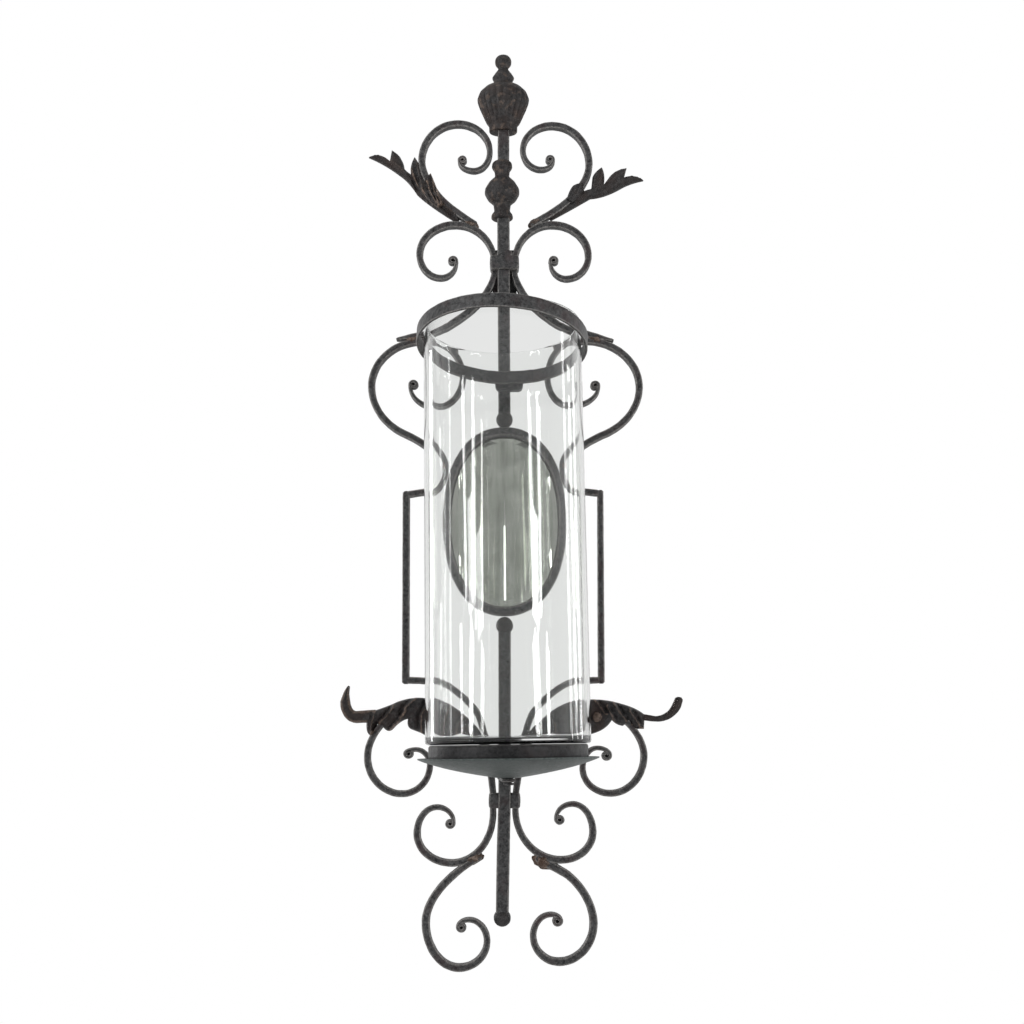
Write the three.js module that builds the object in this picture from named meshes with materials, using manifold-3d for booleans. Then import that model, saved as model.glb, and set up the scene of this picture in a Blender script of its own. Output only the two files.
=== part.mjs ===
// Wall sconce: a forged iron back frame with an oval mirror, a steadying hoop, a drip pan and a lift-out
// hurricane glass. Millimetres, +Z up. The wall is the plane y = 0, and the front faces -Y. The origin is
// on the wall face of the hanger plate, behind the upper collar.
import * as THREE from 'three';
import Module from 'manifold-3d';
import { mergeVertices } from 'three/addons/utils/BufferGeometryUtils.js';

const wasm = await Module();
wasm.setup();

// ---- driving dimensions -------------------------------------------------------------------------------
const GAP = 0.3; // clearance kept between two touching pieces
const FRAME_BACK = -6; // every bar's back face stands this far off the wall
const BAR = 12; // main bar, square
const STRIP = 8; // thickness of the scroll bars, front to back
const STEP_TURN = THREE.MathUtils.degToRad(14); // one facet of a curved bar turns by about this much
const ROUND = 48; // facets round a large turned piece
const SMALL_ROUND = 20; // facets round a small turned piece

const BAR_AXIS_Y = FRAME_BACK - BAR / 2;
const BAR_FRONT = FRAME_BACK - BAR;

// The pan, drum and glass lean a little to the left together, turned about the drum's top.
const STAND = { x: 3.4, y: -108, z: -508, lean: THREE.MathUtils.degToRad(-0.8) };
// Heights of the pieces on the stand are measured from the drum's top.
const GLASS = { radius: 76, wall: 3, base: 5, heel: 3, tall: 401.5 };
const HOOP = { x: -2.4, z: -122.6, outer: 83, thick: 3, tall: 14 };
// The hoop sits a little crooked: its front rises, and its left side rises too.
HOOP.tilt = new THREE.Euler(THREE.MathUtils.degToRad(-6.3), THREE.MathUtils.degToRad(2.4), 0, 'YXZ');
const DRUM = { radius: 73, wall: 2, foot: -13.8, boss: 8 };
const PAN = { radius: 83, flat: 9, rim: -11.6, bottom: -30, sheet: 1.8, lip: 1.2 };
const BELLY = { radius: 58, z: -23 }; // pulls the pan's underside out into a bulge
const ARM = { width: 12, thick: 3.2 };
const SCREW = { radius: 3, head: 5, headTall: 2.2, tip: -5 };

// The oval is a little fuller than an ellipse: "fullness" is the power of its curve, 2 for an ellipse.
const OVAL = { z: -279.3, halfWidth: 69, halfHeight: 99, fullness: 2.14, face: 9.6, depth: 9 };
const REBATE = { face: 4, depth: 5.2 };
const MIRROR = { thick: 2.8, backing: 1.2, clip: 1.2, clipWide: 9, clipLong: 12 };
const BALL = { radius: 9, upperZ: -172, lowerZ: -388.2, dropRadius: 8.4, dropX: -2.2, dropZ: -675 };
const UPPER_COLLAR = { half: 15.6, low: -7, high: 8, front: -21, back: -4.2, stepHalf: 8.5, stepHigh: 14 };
const LOWER_COLLAR = { half: 15.7, low: -570, high: -555, front: -16.2, back: -4, slot: 7 };
const HANGER = { half: 13, sheet: 2, low: -30, high: 12, flange: 8 };
const KEYHOLE = { z: -20, radius: 4.6, slot: 2.5, slotTop: -12 };
const SPACER = { left: -10, right: 20, low: -144, high: -126 };
const RIVET = { radius: 2.5, head: 4.6, headTall: 2.2, z: -133 };
const BUMPER = { side: 10, x: -1.9, z: -640 };

// ---- materials ----------------------------------------------------------------------------------------
const forgedIron = () => new THREE.MeshStandardMaterial({ color: 0x3b3938, roughness: 0.6, metalness: 0.7 });
const castIron = () => new THREE.MeshStandardMaterial({ color: 0x37332f, roughness: 0.7, metalness: 0.6 });
const panSheet = () => new THREE.MeshStandardMaterial({ color: 0x3f4443, roughness: 0.5, metalness: 0.7 });
const silveredGlass = () => new THREE.MeshStandardMaterial({ color: 0x8b9088, roughness: 0.05, metalness: 1 });
const backingBoard = () => new THREE.MeshStandardMaterial({ color: 0x4a3f33, roughness: 0.9, metalness: 0 });
const feltPad = () => new THREE.MeshStandardMaterial({ color: 0x2a2a2a, roughness: 1, metalness: 0 });
const clearGlass = () => new THREE.MeshStandardMaterial({
  color: 0xe6efe9, roughness: 0.03, metalness: 0, transparent: true, opacity: 0.3,
});

// ---- solids -------------------------------------------------------------------------------------------
// Joins a geometry's shared corners, drops flat triangles and hands it to the solid library.
function solid(geometry) {
  const bare = geometry.clone();
  bare.deleteAttribute('normal');
  bare.deleteAttribute('uv');
  const merged = mergeVertices(bare, 1e-4);
  const index = merged.index.array;
  const kept = [];
  for (let i = 0; i < index.length; i += 3) {
    const [a, b, c] = [index[i], index[i + 1], index[i + 2]];
    if (a !== b && b !== c && c !== a) kept.push(a, b, c);
  }
  const vertProperties = Float32Array.from(merged.attributes.position.array);
  return new wasm.Manifold(new wasm.Mesh({ numProp: 3, vertProperties, triVerts: Uint32Array.from(kept) }));
}

function geometryOf(body) {
  const mesh = body.getMesh();
  const geometry = new THREE.BufferGeometry();
  geometry.setAttribute('position', new THREE.BufferAttribute(mesh.vertProperties, 3));
  geometry.setIndex(new THREE.BufferAttribute(mesh.triVerts, 1));
  geometry.computeVertexNormals();
  return geometry;
}

const cut = (body, ...tools) => tools.reduce((left, tool) => left.subtract(tool), body);
const join = (body, ...others) => others.reduce((whole, other) => whole.add(other), body);

function box(x0, x1, y0, y1, z0, z1) {
  const geometry = new THREE.BoxGeometry(x1 - x0, y1 - y0, z1 - z0);
  return solid(geometry.translate((x0 + x1) / 2, (y0 + y1) / 2, (z0 + z1) / 2));
}

function ball(radius, x, y, z, facets = SMALL_ROUND) {
  return solid(new THREE.SphereGeometry(radius, facets, facets / 2).rotateX(Math.PI / 2).translate(x, y, z));
}

// A round bar or hole along Y, from y0 (further from the wall) to y1.
function roundAlongY(radius, x, z, y0, y1, facets = SMALL_ROUND) {
  const geometry = new THREE.CylinderGeometry(radius, radius, y1 - y0, facets);
  return solid(geometry.translate(x, (y0 + y1) / 2, z));
}

// Turns a profile of [radius, height] pairs about the vertical axis. It runs up the outside.
function turned(profile, facets = ROUND) {
  const points = profile.map(([radius, height]) => new THREE.Vector2(radius, height));
  return new THREE.LatheGeometry(points, facets).rotateX(Math.PI / 2);
}

// Extrudes an outline drawn in the wall's plane (x, z) forwards from the plane y = back.
function plate(shape, back, depth, curveSegments = 6) {
  const geometry = new THREE.ExtrudeGeometry(shape, { depth, bevelEnabled: false, curveSegments });
  return solid(geometry.rotateX(Math.PI / 2).translate(0, back, 0));
}

// ---- bent bars ----------------------------------------------------------------------------------------
// A bar is a list of knots [x, z, heading in degrees, width]. Heading 0 runs towards +X, 90 runs up. Between
// two knots the centreline is one elliptical arc, so it leaves and arrives along the headings given.
function bend([x0, z0, heading0], [x1, z1, heading1]) {
  const start = new THREE.Vector2(x0, z0);
  const end = new THREE.Vector2(x1, z1);
  const degrees = THREE.MathUtils.euclideanModulo(heading1 - heading0 + 180, 360) - 180;
  if (Math.abs(degrees) < 2) return { curve: new THREE.LineCurve(start, end), steps: 1 };
  const turn = THREE.MathUtils.degToRad(degrees);
  const leave = new THREE.Vector2(1, 0).rotateAround(new THREE.Vector2(), THREE.MathUtils.degToRad(heading0));
  const arrive = leave.clone().rotateAround(new THREE.Vector2(), turn);
  const chord = end.clone().sub(start);
  const cross = leave.cross(arrive);
  const reachOut = chord.cross(arrive) / cross;
  const reachIn = leave.cross(chord) / cross;
  if (reachOut < 0 || reachIn < 0) throw new Error(`no single arc joins ${x0},${z0} to ${x1},${z1}`);
  const arcShare = ((4 / 3) * Math.tan(turn / 4)) / Math.tan(turn / 2);
  const first = start.clone().addScaledVector(leave, reachOut * arcShare);
  const second = end.clone().addScaledVector(arrive, -reachIn * arcShare);
  const steps = Math.max(2, Math.ceil(Math.abs(turn) / STEP_TURN));
  return { curve: new THREE.CubicBezierCurve(start, first, second, end), steps };
}

// The bar's outline in the wall's plane: up one side and back down the other.
function barOutline(knots, extra = 0) {
  const left = [];
  const right = [];
  for (let i = 1; i < knots.length; i += 1) {
    const { curve, steps } = bend(knots[i - 1], knots[i]);
    for (let step = i === 1 ? 0 : 1; step <= steps; step += 1) {
      const t = step / steps;
      const half = THREE.MathUtils.lerp(knots[i - 1][3], knots[i][3], t) / 2 + extra;
      const point = curve.getPoint(t);
      const along = curve.getTangent(t);
      left.push(new THREE.Vector2(point.x - along.y * half, point.y + along.x * half));
      right.push(new THREE.Vector2(point.x + along.y * half, point.y - along.x * half));
    }
  }
  return new THREE.Shape([...left, ...right.reverse()]);
}

const bar = (knots, thick = STRIP) => plate(barOutline(knots), FRAME_BACK, thick);
const barRoom = (knots, thick = STRIP) => plate(barOutline(knots, GAP), FRAME_BACK + GAP, thick + 2 * GAP);

// The rolled end of a scroll: the last tight turn, closed up into a disc.
function curl([x, z, radius]) {
  return roundAlongY(radius, x, z, FRAME_BACK - STRIP, FRAME_BACK, 16);
}

// A scroll, with its rolled end and, on a few of them, a small forged point or weld lump along the bar.
function scroll({ knots, roll, thorn }) {
  const whole = join(bar(knots), curl(roll));
  if (!thorn) return whole;
  const point = new THREE.Shape(thorn.map(([x, z]) => new THREE.Vector2(x, z)));
  return join(whole, plate(point, FRAME_BACK, STRIP));
}

// ---- the scrolls: knots as above, and roll as [x, z, radius] ----------------------------------------------
const CREST = {
  left: {
    knots: [
      [-30, 45, 146, 8], [-69, 76, 130, 8.2], [-90, 121, 90, 8], [-51, 164, 0, 7.6],
      [-16, 131, -90, 6.6], [-33, 109, 180, 5.4], [-49, 120, 90, 4],
    ],
    roll: [-45.6, 121, 5.4],
    thorn: [[-86, 97], [-80, 105], [-75, 92], [-71, 80], [-77, 80]],
  },
  right: {
    knots: [
      [28, 46, 28, 8], [66, 71, 41, 8.2], [92, 117, 90, 8], [52, 162, 180, 7.6],
      [20, 133, -90, 6.6], [40, 110.5, 0, 5.4], [53, 121, 90, 4],
    ],
    roll: [49.4, 121.6, 5.5],
    thorn: [[68, 76], [73, 89], [83, 94], [84, 88], [73, 76]],
  },
};

const SHOULDER = {
  left: {
    knots: [
      [-114.6, -83, 8, 3], [-98, -80, 9, 6.6], [-58, -66.5, 32, 8.4], [-19, -31, 60, 8],
      [-10.5, -6, 90, 6.8], [-11.2, 8, 97, 6.8], [-53, 46.5, 180, 7.8], [-91, 13, -90, 7.6],
      [-68, -14, 0, 6.4], [-51.8, 3, 90, 4],
    ],
    roll: [-55.6, 5, 5.4],
  },
  right: {
    knots: [
      [115.6, -84.4, 168, 3], [98, -80.2, 164, 7], [58, -66.5, 148, 8.4], [19, -31, 120, 8],
      [10.5, -6, 90, 6.8], [11.2, 8, 83, 6.8], [51, 46.5, 0, 7.8], [90, 11, -90, 7.6],
      [66, -15, 180, 6.4], [49.4, 3, 90, 4],
    ],
    roll: [53, 5, 5.5],
  },
};

const SIDE = {
  left: {
    knots: [
      [-99.4, -133, -90, 4], [-74, -157, 0, 6.2], [-46, -125, 90, 7.4], [-88, -85.5, 180, 7.2],
      [-140, -134, -90, 7.6], [-104, -186.5, -25, 7.6], [-65.6, -222, -90, 7.6], [-84, -248.8, -172, 7],
      [-101, -251.4, -171, 7.4],
    ],
    roll: [-95.6, -133, 5.3],
  },
  right: {
    knots: [
      [99, -134, -90, 4], [72, -155.5, 180, 6.2], [48, -126, 90, 7.4], [86, -84.6, 0, 7.2],
      [142, -135, -90, 7.6], [105, -186.5, -156, 7.6], [64.6, -220, -90, 7.6], [80, -247.8, -6, 6.8],
      [98, -249.8, -6, 7],
    ],
    roll: [95.2, -134, 5.3],
  },
};

const UPRIGHT = {
  left: { knots: [[-101.8, -248, -90, 7.4], [-99.8, -447, -90, 7.4]] },
  right: { knots: [[99.4, -246.8, -90, 6.2], [97.8, -446.6, -90, 6.8]] },
};

const LOWER = {
  left: {
    knots: [
      [-99, -443.4, 0, 7.2], [-76, -444.5, -8, 7], [-31, -473, -48, 7.2], [-13.2, -540, -82, 7.2],
      [-11.3, -562, -90, 6.6], [-11.3, -575, -90, 6.8], [-52, -623, 180, 7.6], [-86.5, -594, 90, 7.4],
      [-67, -569, 0, 6], [-50.4, -584, -90, 4],
    ],
    roll: [-54, -585, 5.3],
  },
  right: {
    knots: [
      [97, -443.2, 180, 6.8], [74, -445, -168, 7], [31, -474, -132, 7.2], [13.4, -540, -98, 7.2],
      [10.9, -562, -90, 6.6], [10.9, -572, -90, 6.8], [56, -620, 0, 7.6], [87.5, -593, 90, 7.4],
      [68, -566, 180, 6], [51.2, -580, -90, 4],
    ],
    roll: [54.8, -581, 5.2],
  },
};

const DROP = {
  left: {
    knots: [
      [-23, -617, -155, 6], [-52, -636, -139, 8], [-77, -679, -90, 8.4], [-44, -722, 0, 8],
      [-17, -697, 90, 6.8], [-35, -677, 180, 5.2], [-45.6, -684, -90, 4],
    ],
    roll: [-42, -684, 5.4],
  },
  right: {
    knots: [
      [31, -617.5, -27, 9], [63, -635, -40, 8], [87, -680, -90, 8.4], [53, -716.5, 180, 8],
      [28, -692, 90, 6.8], [46, -672, 0, 5.2], [55.4, -678.4, -90, 4],
    ],
    roll: [51.6, -678, 5.6],
    thorn: [[28, -611], [25.6, -626], [30, -630.5], [33, -628], [45, -631], [51, -629], [38, -614]],
  },
};

const BASE = {
  left: {
    knots: [
      [-112, -478, -145, 6], [-137, -519, -90, 7.2], [-102, -556, 0, 7.2], [-74.5, -528, 90, 6.4],
      [-89, -512.5, 180, 5], [-99.4, -516.4, -90, 4],
    ],
    roll: [-95.6, -516.4, 5.1],
  },
  right: {
    knots: [
      [114, -478, -35, 6], [139.5, -518, -90, 7.2], [105, -555.5, 180, 7.2], [78, -531, 90, 6.4],
      [93, -511, 0, 5], [105.6, -518, -90, 4],
    ],
    roll: [101.8, -518.4, 5.2],
  },
};

// ---- the cast leaves ----------------------------------------------------------------------------------
const LEAF_DEPTH = 7;
const BASE_LEAF_DEPTH = 11;

// An outline from a start point, curves [control x, control z, end x, end z] and straight runs [x, z].
function leafShape(start, runs) {
  const shape = new THREE.Shape();
  shape.moveTo(...start);
  for (const run of runs) {
    if (run.length === 2) shape.lineTo(...run);
    else shape.quadraticCurveTo(...run);
  }
  shape.closePath();
  return shape;
}

const CREST_LEAF = {
  left: leafShape([-50, 49], [
    [-84, 71, -95, 83], [-104, 98, -114, 105], [-130, 118, -148, 126], [-136, 132, -125, 121],
    [-123, 134], [-110, 126, -109, 113], [-102, 106], [-103, 118, -98, 126], [-92, 118, -90, 106],
    [-84, 97], [-69, 76], [-48, 57],
  ]),
  right: leafShape([49, 52], [
    [72, 65, 93, 78], [108, 79, 125, 89], [136, 96, 151, 99], [141, 107, 130, 102],
    [133, 113], [119, 111, 113, 101], [108, 93], [110, 104, 106, 114], [97, 109, 92, 99],
    [87, 97], [78, 84], [66, 71], [50, 58],
  ]),
};

const BASE_LEAF = {
  left: leafShape([-138, -476], [
    [-118, -470, -108, -465], [-94, -460, -83, -461], [-60, -464, -44, -477], [-30, -488, -20, -500],
    [-20, -512], [-32, -504, -47, -497], [-58, -506, -70, -503.5], [-84, -496], [-92, -493],
    [-99, -491, -97, -482], [-104, -483, -112, -492], [-117, -497, -122, -490], [-128, -487], [-131, -499],
    [-140, -500, -138.5, -484],
  ]),
  right: leafShape([141, -478], [
    [140, -492], [130, -492], [124, -485], [119, -489], [112, -488, 108, -483], [103, -492, 91, -496],
    [82, -499, 72, -502], [60, -504, 48, -498], [32, -505, 20, -512], [20, -500], [31, -488, 46, -477],
    [62, -464, 88, -462.5], [104, -462.5, 118, -467], [133, -471, 141, -478],
  ]),
};

// The horn that each base leaf ends in.
const HORN = {
  left: {
    knots: [[-128, -479, 180, 12.4], [-149, -480.2, 179, 11.2], [-161.4, -465, 90, 8.2], [-157, -450, 66, 1]],
  },
  right: {
    knots: [[136, -480, -9, 8], [154, -482, 0, 6], [176.4, -463.6, 86, 7.2]],
    tip: [176.4, -463.6, 3.4],
  },
};

function baseLeaf(side) {
  const horn = bar(HORN[side].knots, STRIP);
  const leaf = join(plate(BASE_LEAF[side], FRAME_BACK, BASE_LEAF_DEPTH), horn);
  return side === 'left' ? leaf : join(leaf, curl(HORN.right.tip));
}

// ---- turned castings ----------------------------------------------------------------------------------
// A turned body flattened front to back by "squash", with its flat back at y = back.
function halfRound(profile, x, squash, back, facets = 24) {
  const geometry = turned(profile, facets).scale(1, squash, 1).translate(x, BAR_AXIS_Y, 0);
  const behind = box(-60, 60, back, 60, -800, 300);
  return cut(solid(geometry), behind);
}

function finialUrn() {
  const urn = halfRound([
    [0, 153], [15.4, 153], [15.4, 160.5], [18.4, 164], [25.8, 181], [28, 188], [28.4, 193], [25.6, 200],
    [19, 206.5], [10.5, 211], [10.5, 213.6], [12.2, 217.4], [9, 223], [5.2, 230], [0, 230],
  ], -1.4, 0.6, FRAME_BACK + 2);
  return join(urn, ball(9.1, -1.2, BAR_AXIS_Y, 237));
}

function finialBaluster() {
  return halfRound([
    [0, 51], [8.6, 51], [11.6, 52.6], [11.4, 57], [8.6, 61], [9.4, 69], [15.4, 74.5], [18.6, 81],
    [18.4, 87], [14, 94.5], [7.8, 101], [8.2, 107], [11, 111.5], [10.6, 117], [8, 119], [0, 119],
  ], -2.6, 0.76, FRAME_BACK + 2);
}

// ---- the frame's straight bars and collars --------------------------------------------------------------
// The main bar leans slightly, so each straight length is a bar with two knots.
const STEM = [[-1.2, 119 + GAP, 90, BAR], [-1, 153 - GAP, 90, BAR]];
const UPPER_BAR = [[0, BALL.upperZ, 90, BAR], [-1.2, 51 - GAP, 90, BAR]];
const LOWER_BAR = [[BALL.dropX, BALL.dropZ, 90, BAR], [0, BALL.lowerZ, 90, BAR]];
const rivetRoom = () => roundAlongY(RIVET.radius + GAP, 0, RIVET.z, -60, 0);

const OVAL_FACETS = 56;

function ovalDisc(inset, back, depth) {
  const { z, halfWidth, halfHeight, fullness } = OVAL;
  const share = (value) => Math.sign(value) * Math.abs(value) ** (2 / fullness);
  const points = [];
  for (let step = 0; step < OVAL_FACETS; step += 1) {
    const angle = (step / OVAL_FACETS) * Math.PI * 2;
    const x = (halfWidth - inset) * share(Math.cos(angle));
    points.push(new THREE.Vector2(x, z + (halfHeight - inset) * share(Math.sin(angle))));
  }
  return plate(new THREE.Shape(points), back, depth);
}
const ovalRoom = () => ovalDisc(-GAP, FRAME_BACK + GAP, OVAL.depth + 2 * GAP);

const upperBall = () => cut(ball(BALL.radius, 0, BAR_AXIS_Y, BALL.upperZ), ovalRoom());
const lowerBall = () => cut(ball(BALL.radius, 0, BAR_AXIS_Y, BALL.lowerZ), ovalRoom());

function mirrorRing() {
  const opening = ovalDisc(OVAL.face, 0, 40);
  const rebate = ovalDisc(REBATE.face, FRAME_BACK + 1, REBATE.depth + 1);
  return cut(ovalDisc(0, FRAME_BACK, OVAL.depth), opening, rebate);
}

const MIRROR_FRONT = FRAME_BACK - REBATE.depth + GAP;
const mirrorGlass = () => ovalDisc(REBATE.face + GAP, MIRROR_FRONT + MIRROR.thick, MIRROR.thick);
const mirrorBacking = () =>
  ovalDisc(REBATE.face + GAP, MIRROR_FRONT + MIRROR.thick + GAP + MIRROR.backing, MIRROR.backing);

// A retaining clip behind the ring, centred on the ring's rim in the direction given.
function mirrorClip(dx, dz) {
  const x = dx * (OVAL.halfWidth - REBATE.face - 1);
  const z = OVAL.z + dz * (OVAL.halfHeight - REBATE.face - 1);
  const halfX = dz ? MIRROR.clipLong / 2 : MIRROR.clipWide / 2;
  const halfZ = dz ? MIRROR.clipWide / 2 : MIRROR.clipLong / 2;
  const back = FRAME_BACK + GAP + MIRROR.clip;
  return box(x - halfX, x + halfX, FRAME_BACK + GAP, back, z - halfZ, z + halfZ);
}

function upperCollar() {
  const { half, low, high, front, back, stepHalf, stepHigh } = UPPER_COLLAR;
  const band = box(-half, half, front, back, low, high);
  const step = box(-stepHalf, stepHalf, front + 1, FRAME_BACK, high - 1, stepHigh);
  const scrollRoom = join(barRoom(SHOULDER.left.knots), barRoom(SHOULDER.right.knots));
  return cut(join(band, step), barRoom(UPPER_BAR, BAR), scrollRoom);
}

function lowerCollar() {
  const { half, low, high, front, back, slot } = LOWER_COLLAR;
  const between = box(-slot, slot, -40, FRAME_BACK + GAP, low - 1, high + 1);
  const clip = box(-half, half, front, back, low, high);
  return cut(clip, between, barRoom(LOWER_BAR, BAR), barRoom(LOWER.left.knots), barRoom(LOWER.right.knots));
}

// ---- wall hardware --------------------------------------------------------------------------------------
// A strip folded into a shallow hat: the middle lies on the wall, and both ends are welded behind the bar.
function hangerPlate() {
  const { half, sheet, low, high, flange } = HANGER;
  const { z, radius, slot, slotTop } = KEYHOLE;
  const front = FRAME_BACK + GAP;
  const strip = join(
    box(-half, half, -sheet, 0, low, high),
    box(-half, half, front, 0, high - sheet, high),
    box(-half, half, front, 0, low, low + sheet),
    box(-half, half, front, front + sheet, high - sheet, high + flange),
    box(-half, half, front, front + sheet, low - flange, low + sheet),
  );
  const keyhole = join(
    roundAlongY(radius, 0, z, -sheet - 1, 1),
    box(-slot, slot, -sheet - 1, 1, z, slotTop),
    roundAlongY(slot, 0, slotTop, -sheet - 1, 1, 12),
  );
  return cut(strip, keyhole);
}

function wallBumper() {
  const half = BUMPER.side / 2;
  return box(BUMPER.x - half, BUMPER.x + half, FRAME_BACK + GAP, 0, BUMPER.z - half, BUMPER.z + half);
}

// ---- hoop, pan and drum -----------------------------------------------------------------------------------
function hoopBand(grow = 0) {
  const { x, z, outer, thick, tall, tilt } = HOOP;
  const inner = outer - thick;
  const half = tall / 2 + grow;
  const profile = [
    [inner - grow, -half], [outer + grow, -half], [outer + grow, half], [inner - grow, half],
    [inner - grow, -half],
  ];
  const turn = new THREE.Matrix4().makeRotationFromEuler(tilt).setPosition(x, STAND.y, z);
  return solid(turned(profile, 56).applyMatrix4(turn));
}

function hoopSpacer() {
  const { left, right, low, high } = SPACER;
  const { outer, x, z } = HOOP;
  const block = box(left, right, STAND.y + outer - 4, BAR_FRONT - GAP, low, high);
  const inside = new THREE.CylinderGeometry(outer + GAP, outer + GAP, 60, 56).rotateX(Math.PI / 2);
  return cut(block, solid(inside.translate(x, STAND.y, z)), hoopBand(GAP), rivetRoom());
}

// Flush inside the hoop and domed behind the bar.
function hoopRivet() {
  const { radius, head, headTall, z } = RIVET;
  const hoopInside = STAND.y + HOOP.outer - HOOP.thick + GAP;
  const shank = roundAlongY(radius, 0, z, hoopInside, FRAME_BACK + 1);
  const dome = solid(new THREE.SphereGeometry(head, SMALL_ROUND, 10).scale(1, headTall / head, 1)
    .translate(0, FRAME_BACK + GAP, z));
  return join(shank, cut(dome, box(-20, 20, -40, FRAME_BACK + GAP, z - 20, z + 20)));
}

// The pan's underside bulges: a curve from the flat middle out to the rim, raised by "up".
function panCurve(up) {
  const { radius, flat, rim, bottom, lip } = PAN;
  const curve = new THREE.QuadraticBezierCurve(
    new THREE.Vector2(flat, bottom + up), new THREE.Vector2(BELLY.radius, BELLY.z + up),
    new THREE.Vector2(radius - up, rim - lip + up));
  return curve.getPoints(5).map((point) => [point.x, point.y]);
}

function dripPan() {
  const { radius, rim, bottom, sheet } = PAN;
  const hole = SCREW.radius + GAP;
  return turned([
    [hole, bottom], ...panCurve(0), [radius, rim], [radius - sheet - 0.8, rim],
    ...panCurve(sheet).slice(0, -1).reverse(), [hole, bottom + sheet], [hole, bottom],
  ]);
}

function glassDrum() {
  const { radius, wall, foot, boss } = DRUM;
  const hole = SCREW.radius + GAP;
  const bossFoot = PAN.bottom + PAN.sheet + GAP;
  const ceiling = SCREW.tip + GAP;
  return turned([
    [0, ceiling], [hole, ceiling], [hole, bossFoot], [boss, bossFoot], [boss, -wall],
    [radius - wall, -wall], [radius - wall, foot], [radius, foot], [radius, -1], [radius - 1, 0], [0, 0],
  ]);
}

// A flat bar from the main bar's front to a round eye under the pan.
function panArm() {
  const { width, thick } = ARM;
  const half = width / 2;
  const eyeX = STAND.x - PAN.bottom * Math.tan(-STAND.lean);
  const rootX = BALL.dropX / 2;
  const plan = new THREE.Shape();
  plan.moveTo(rootX - half, BAR_FRONT - GAP - STAND.y);
  plan.lineTo(eyeX - half, 0);
  plan.absarc(eyeX, 0, half, Math.PI, Math.PI * 2, false);
  plan.lineTo(rootX + half, BAR_FRONT - GAP - STAND.y);
  plan.holes.push(new THREE.Path().absarc(eyeX, 0, SCREW.radius + GAP, 0, Math.PI * 2, true));
  const geometry = new THREE.ExtrudeGeometry(plan, { depth: thick, bevelEnabled: false, curveSegments: 8 });
  return geometry.translate(0, STAND.y, STAND.z + PAN.bottom - 2 * GAP - thick);
}

// The one screw that clamps arm, pan and drum together, driven from below.
function panScrew() {
  const { radius, head, headTall, tip } = SCREW;
  const seat = PAN.bottom - ARM.thick - 4 * GAP;
  return turned([
    [0, seat - headTall], [head - 1, seat - headTall], [head, seat - headTall + 1], [head, seat],
    [radius, seat], [radius, tip - 1], [radius - 1, tip], [0, tip],
  ], SMALL_ROUND);
}

function hurricaneGlass() {
  const { radius, wall, base, heel, tall } = GLASS;
  const rim = wall / 2;
  const foot = GAP;
  const profile = [[0, foot]];
  for (let step = 0; step <= 4; step += 1) {
    const angle = (step / 4) * (Math.PI / 2);
    profile.push([radius - heel + heel * Math.sin(angle), foot + heel - heel * Math.cos(angle)]);
  }
  for (let step = 0; step <= 4; step += 1) {
    const angle = (step / 4) * Math.PI;
    profile.push([radius - rim + rim * Math.cos(angle), tall - rim + rim * Math.sin(angle)]);
  }
  profile.push([radius - wall, base + heel], [radius - wall - heel, base], [0, base]);
  return turned(profile, 56);
}

// ---- assembly -----------------------------------------------------------------------------------------
const sconce = new THREE.Group();
const glassStand = new THREE.Group();
glassStand.position.set(STAND.x, STAND.y, STAND.z);
glassStand.rotation.y = STAND.lean;
sconce.add(glassStand);

function place(name, shape, material, group = sconce) {
  const geometry = shape instanceof THREE.BufferGeometry ? shape : geometryOf(shape);
  const mesh = new THREE.Mesh(geometry, material);
  mesh.name = name;
  group.add(mesh);
}

place('finial_urn', finialUrn(), castIron());
place('finial_stem', bar(STEM, BAR), forgedIron());
place('finial_baluster', finialBaluster(), castIron());

const upperBallRoom = ball(BALL.radius + GAP, 0, BAR_AXIS_Y, BALL.upperZ);
const lowerBallRoom = ball(BALL.radius + GAP, 0, BAR_AXIS_Y, BALL.lowerZ);
const dropBallRoom = ball(BALL.dropRadius + GAP, BALL.dropX, BAR_AXIS_Y, BALL.dropZ);
place('main_bar_upper', cut(bar(UPPER_BAR, BAR), upperBallRoom, rivetRoom()), forgedIron());
place('main_bar_lower', cut(bar(LOWER_BAR, BAR), lowerBallRoom, dropBallRoom), forgedIron());
place('ball_above_mirror', upperBall(), castIron());
place('ball_below_mirror', lowerBall(), castIron());
place('drop_ball', ball(BALL.dropRadius, BALL.dropX, BAR_AXIS_Y, BALL.dropZ), castIron());
place('upper_collar', upperCollar(), forgedIron());
place('lower_collar', lowerCollar(), forgedIron());

place('mirror_ring', mirrorRing(), forgedIron());
place('mirror_glass', mirrorGlass(), silveredGlass());
place('mirror_backing', mirrorBacking(), backingBoard());
const CLIPS = { top: [0, 1], bottom: [0, -1], left: [-1, 0], right: [1, 0] };
for (const [where, [dx, dz]] of Object.entries(CLIPS)) {
  place(`mirror_clip_${where}`, mirrorClip(dx, dz), forgedIron());
}

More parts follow.
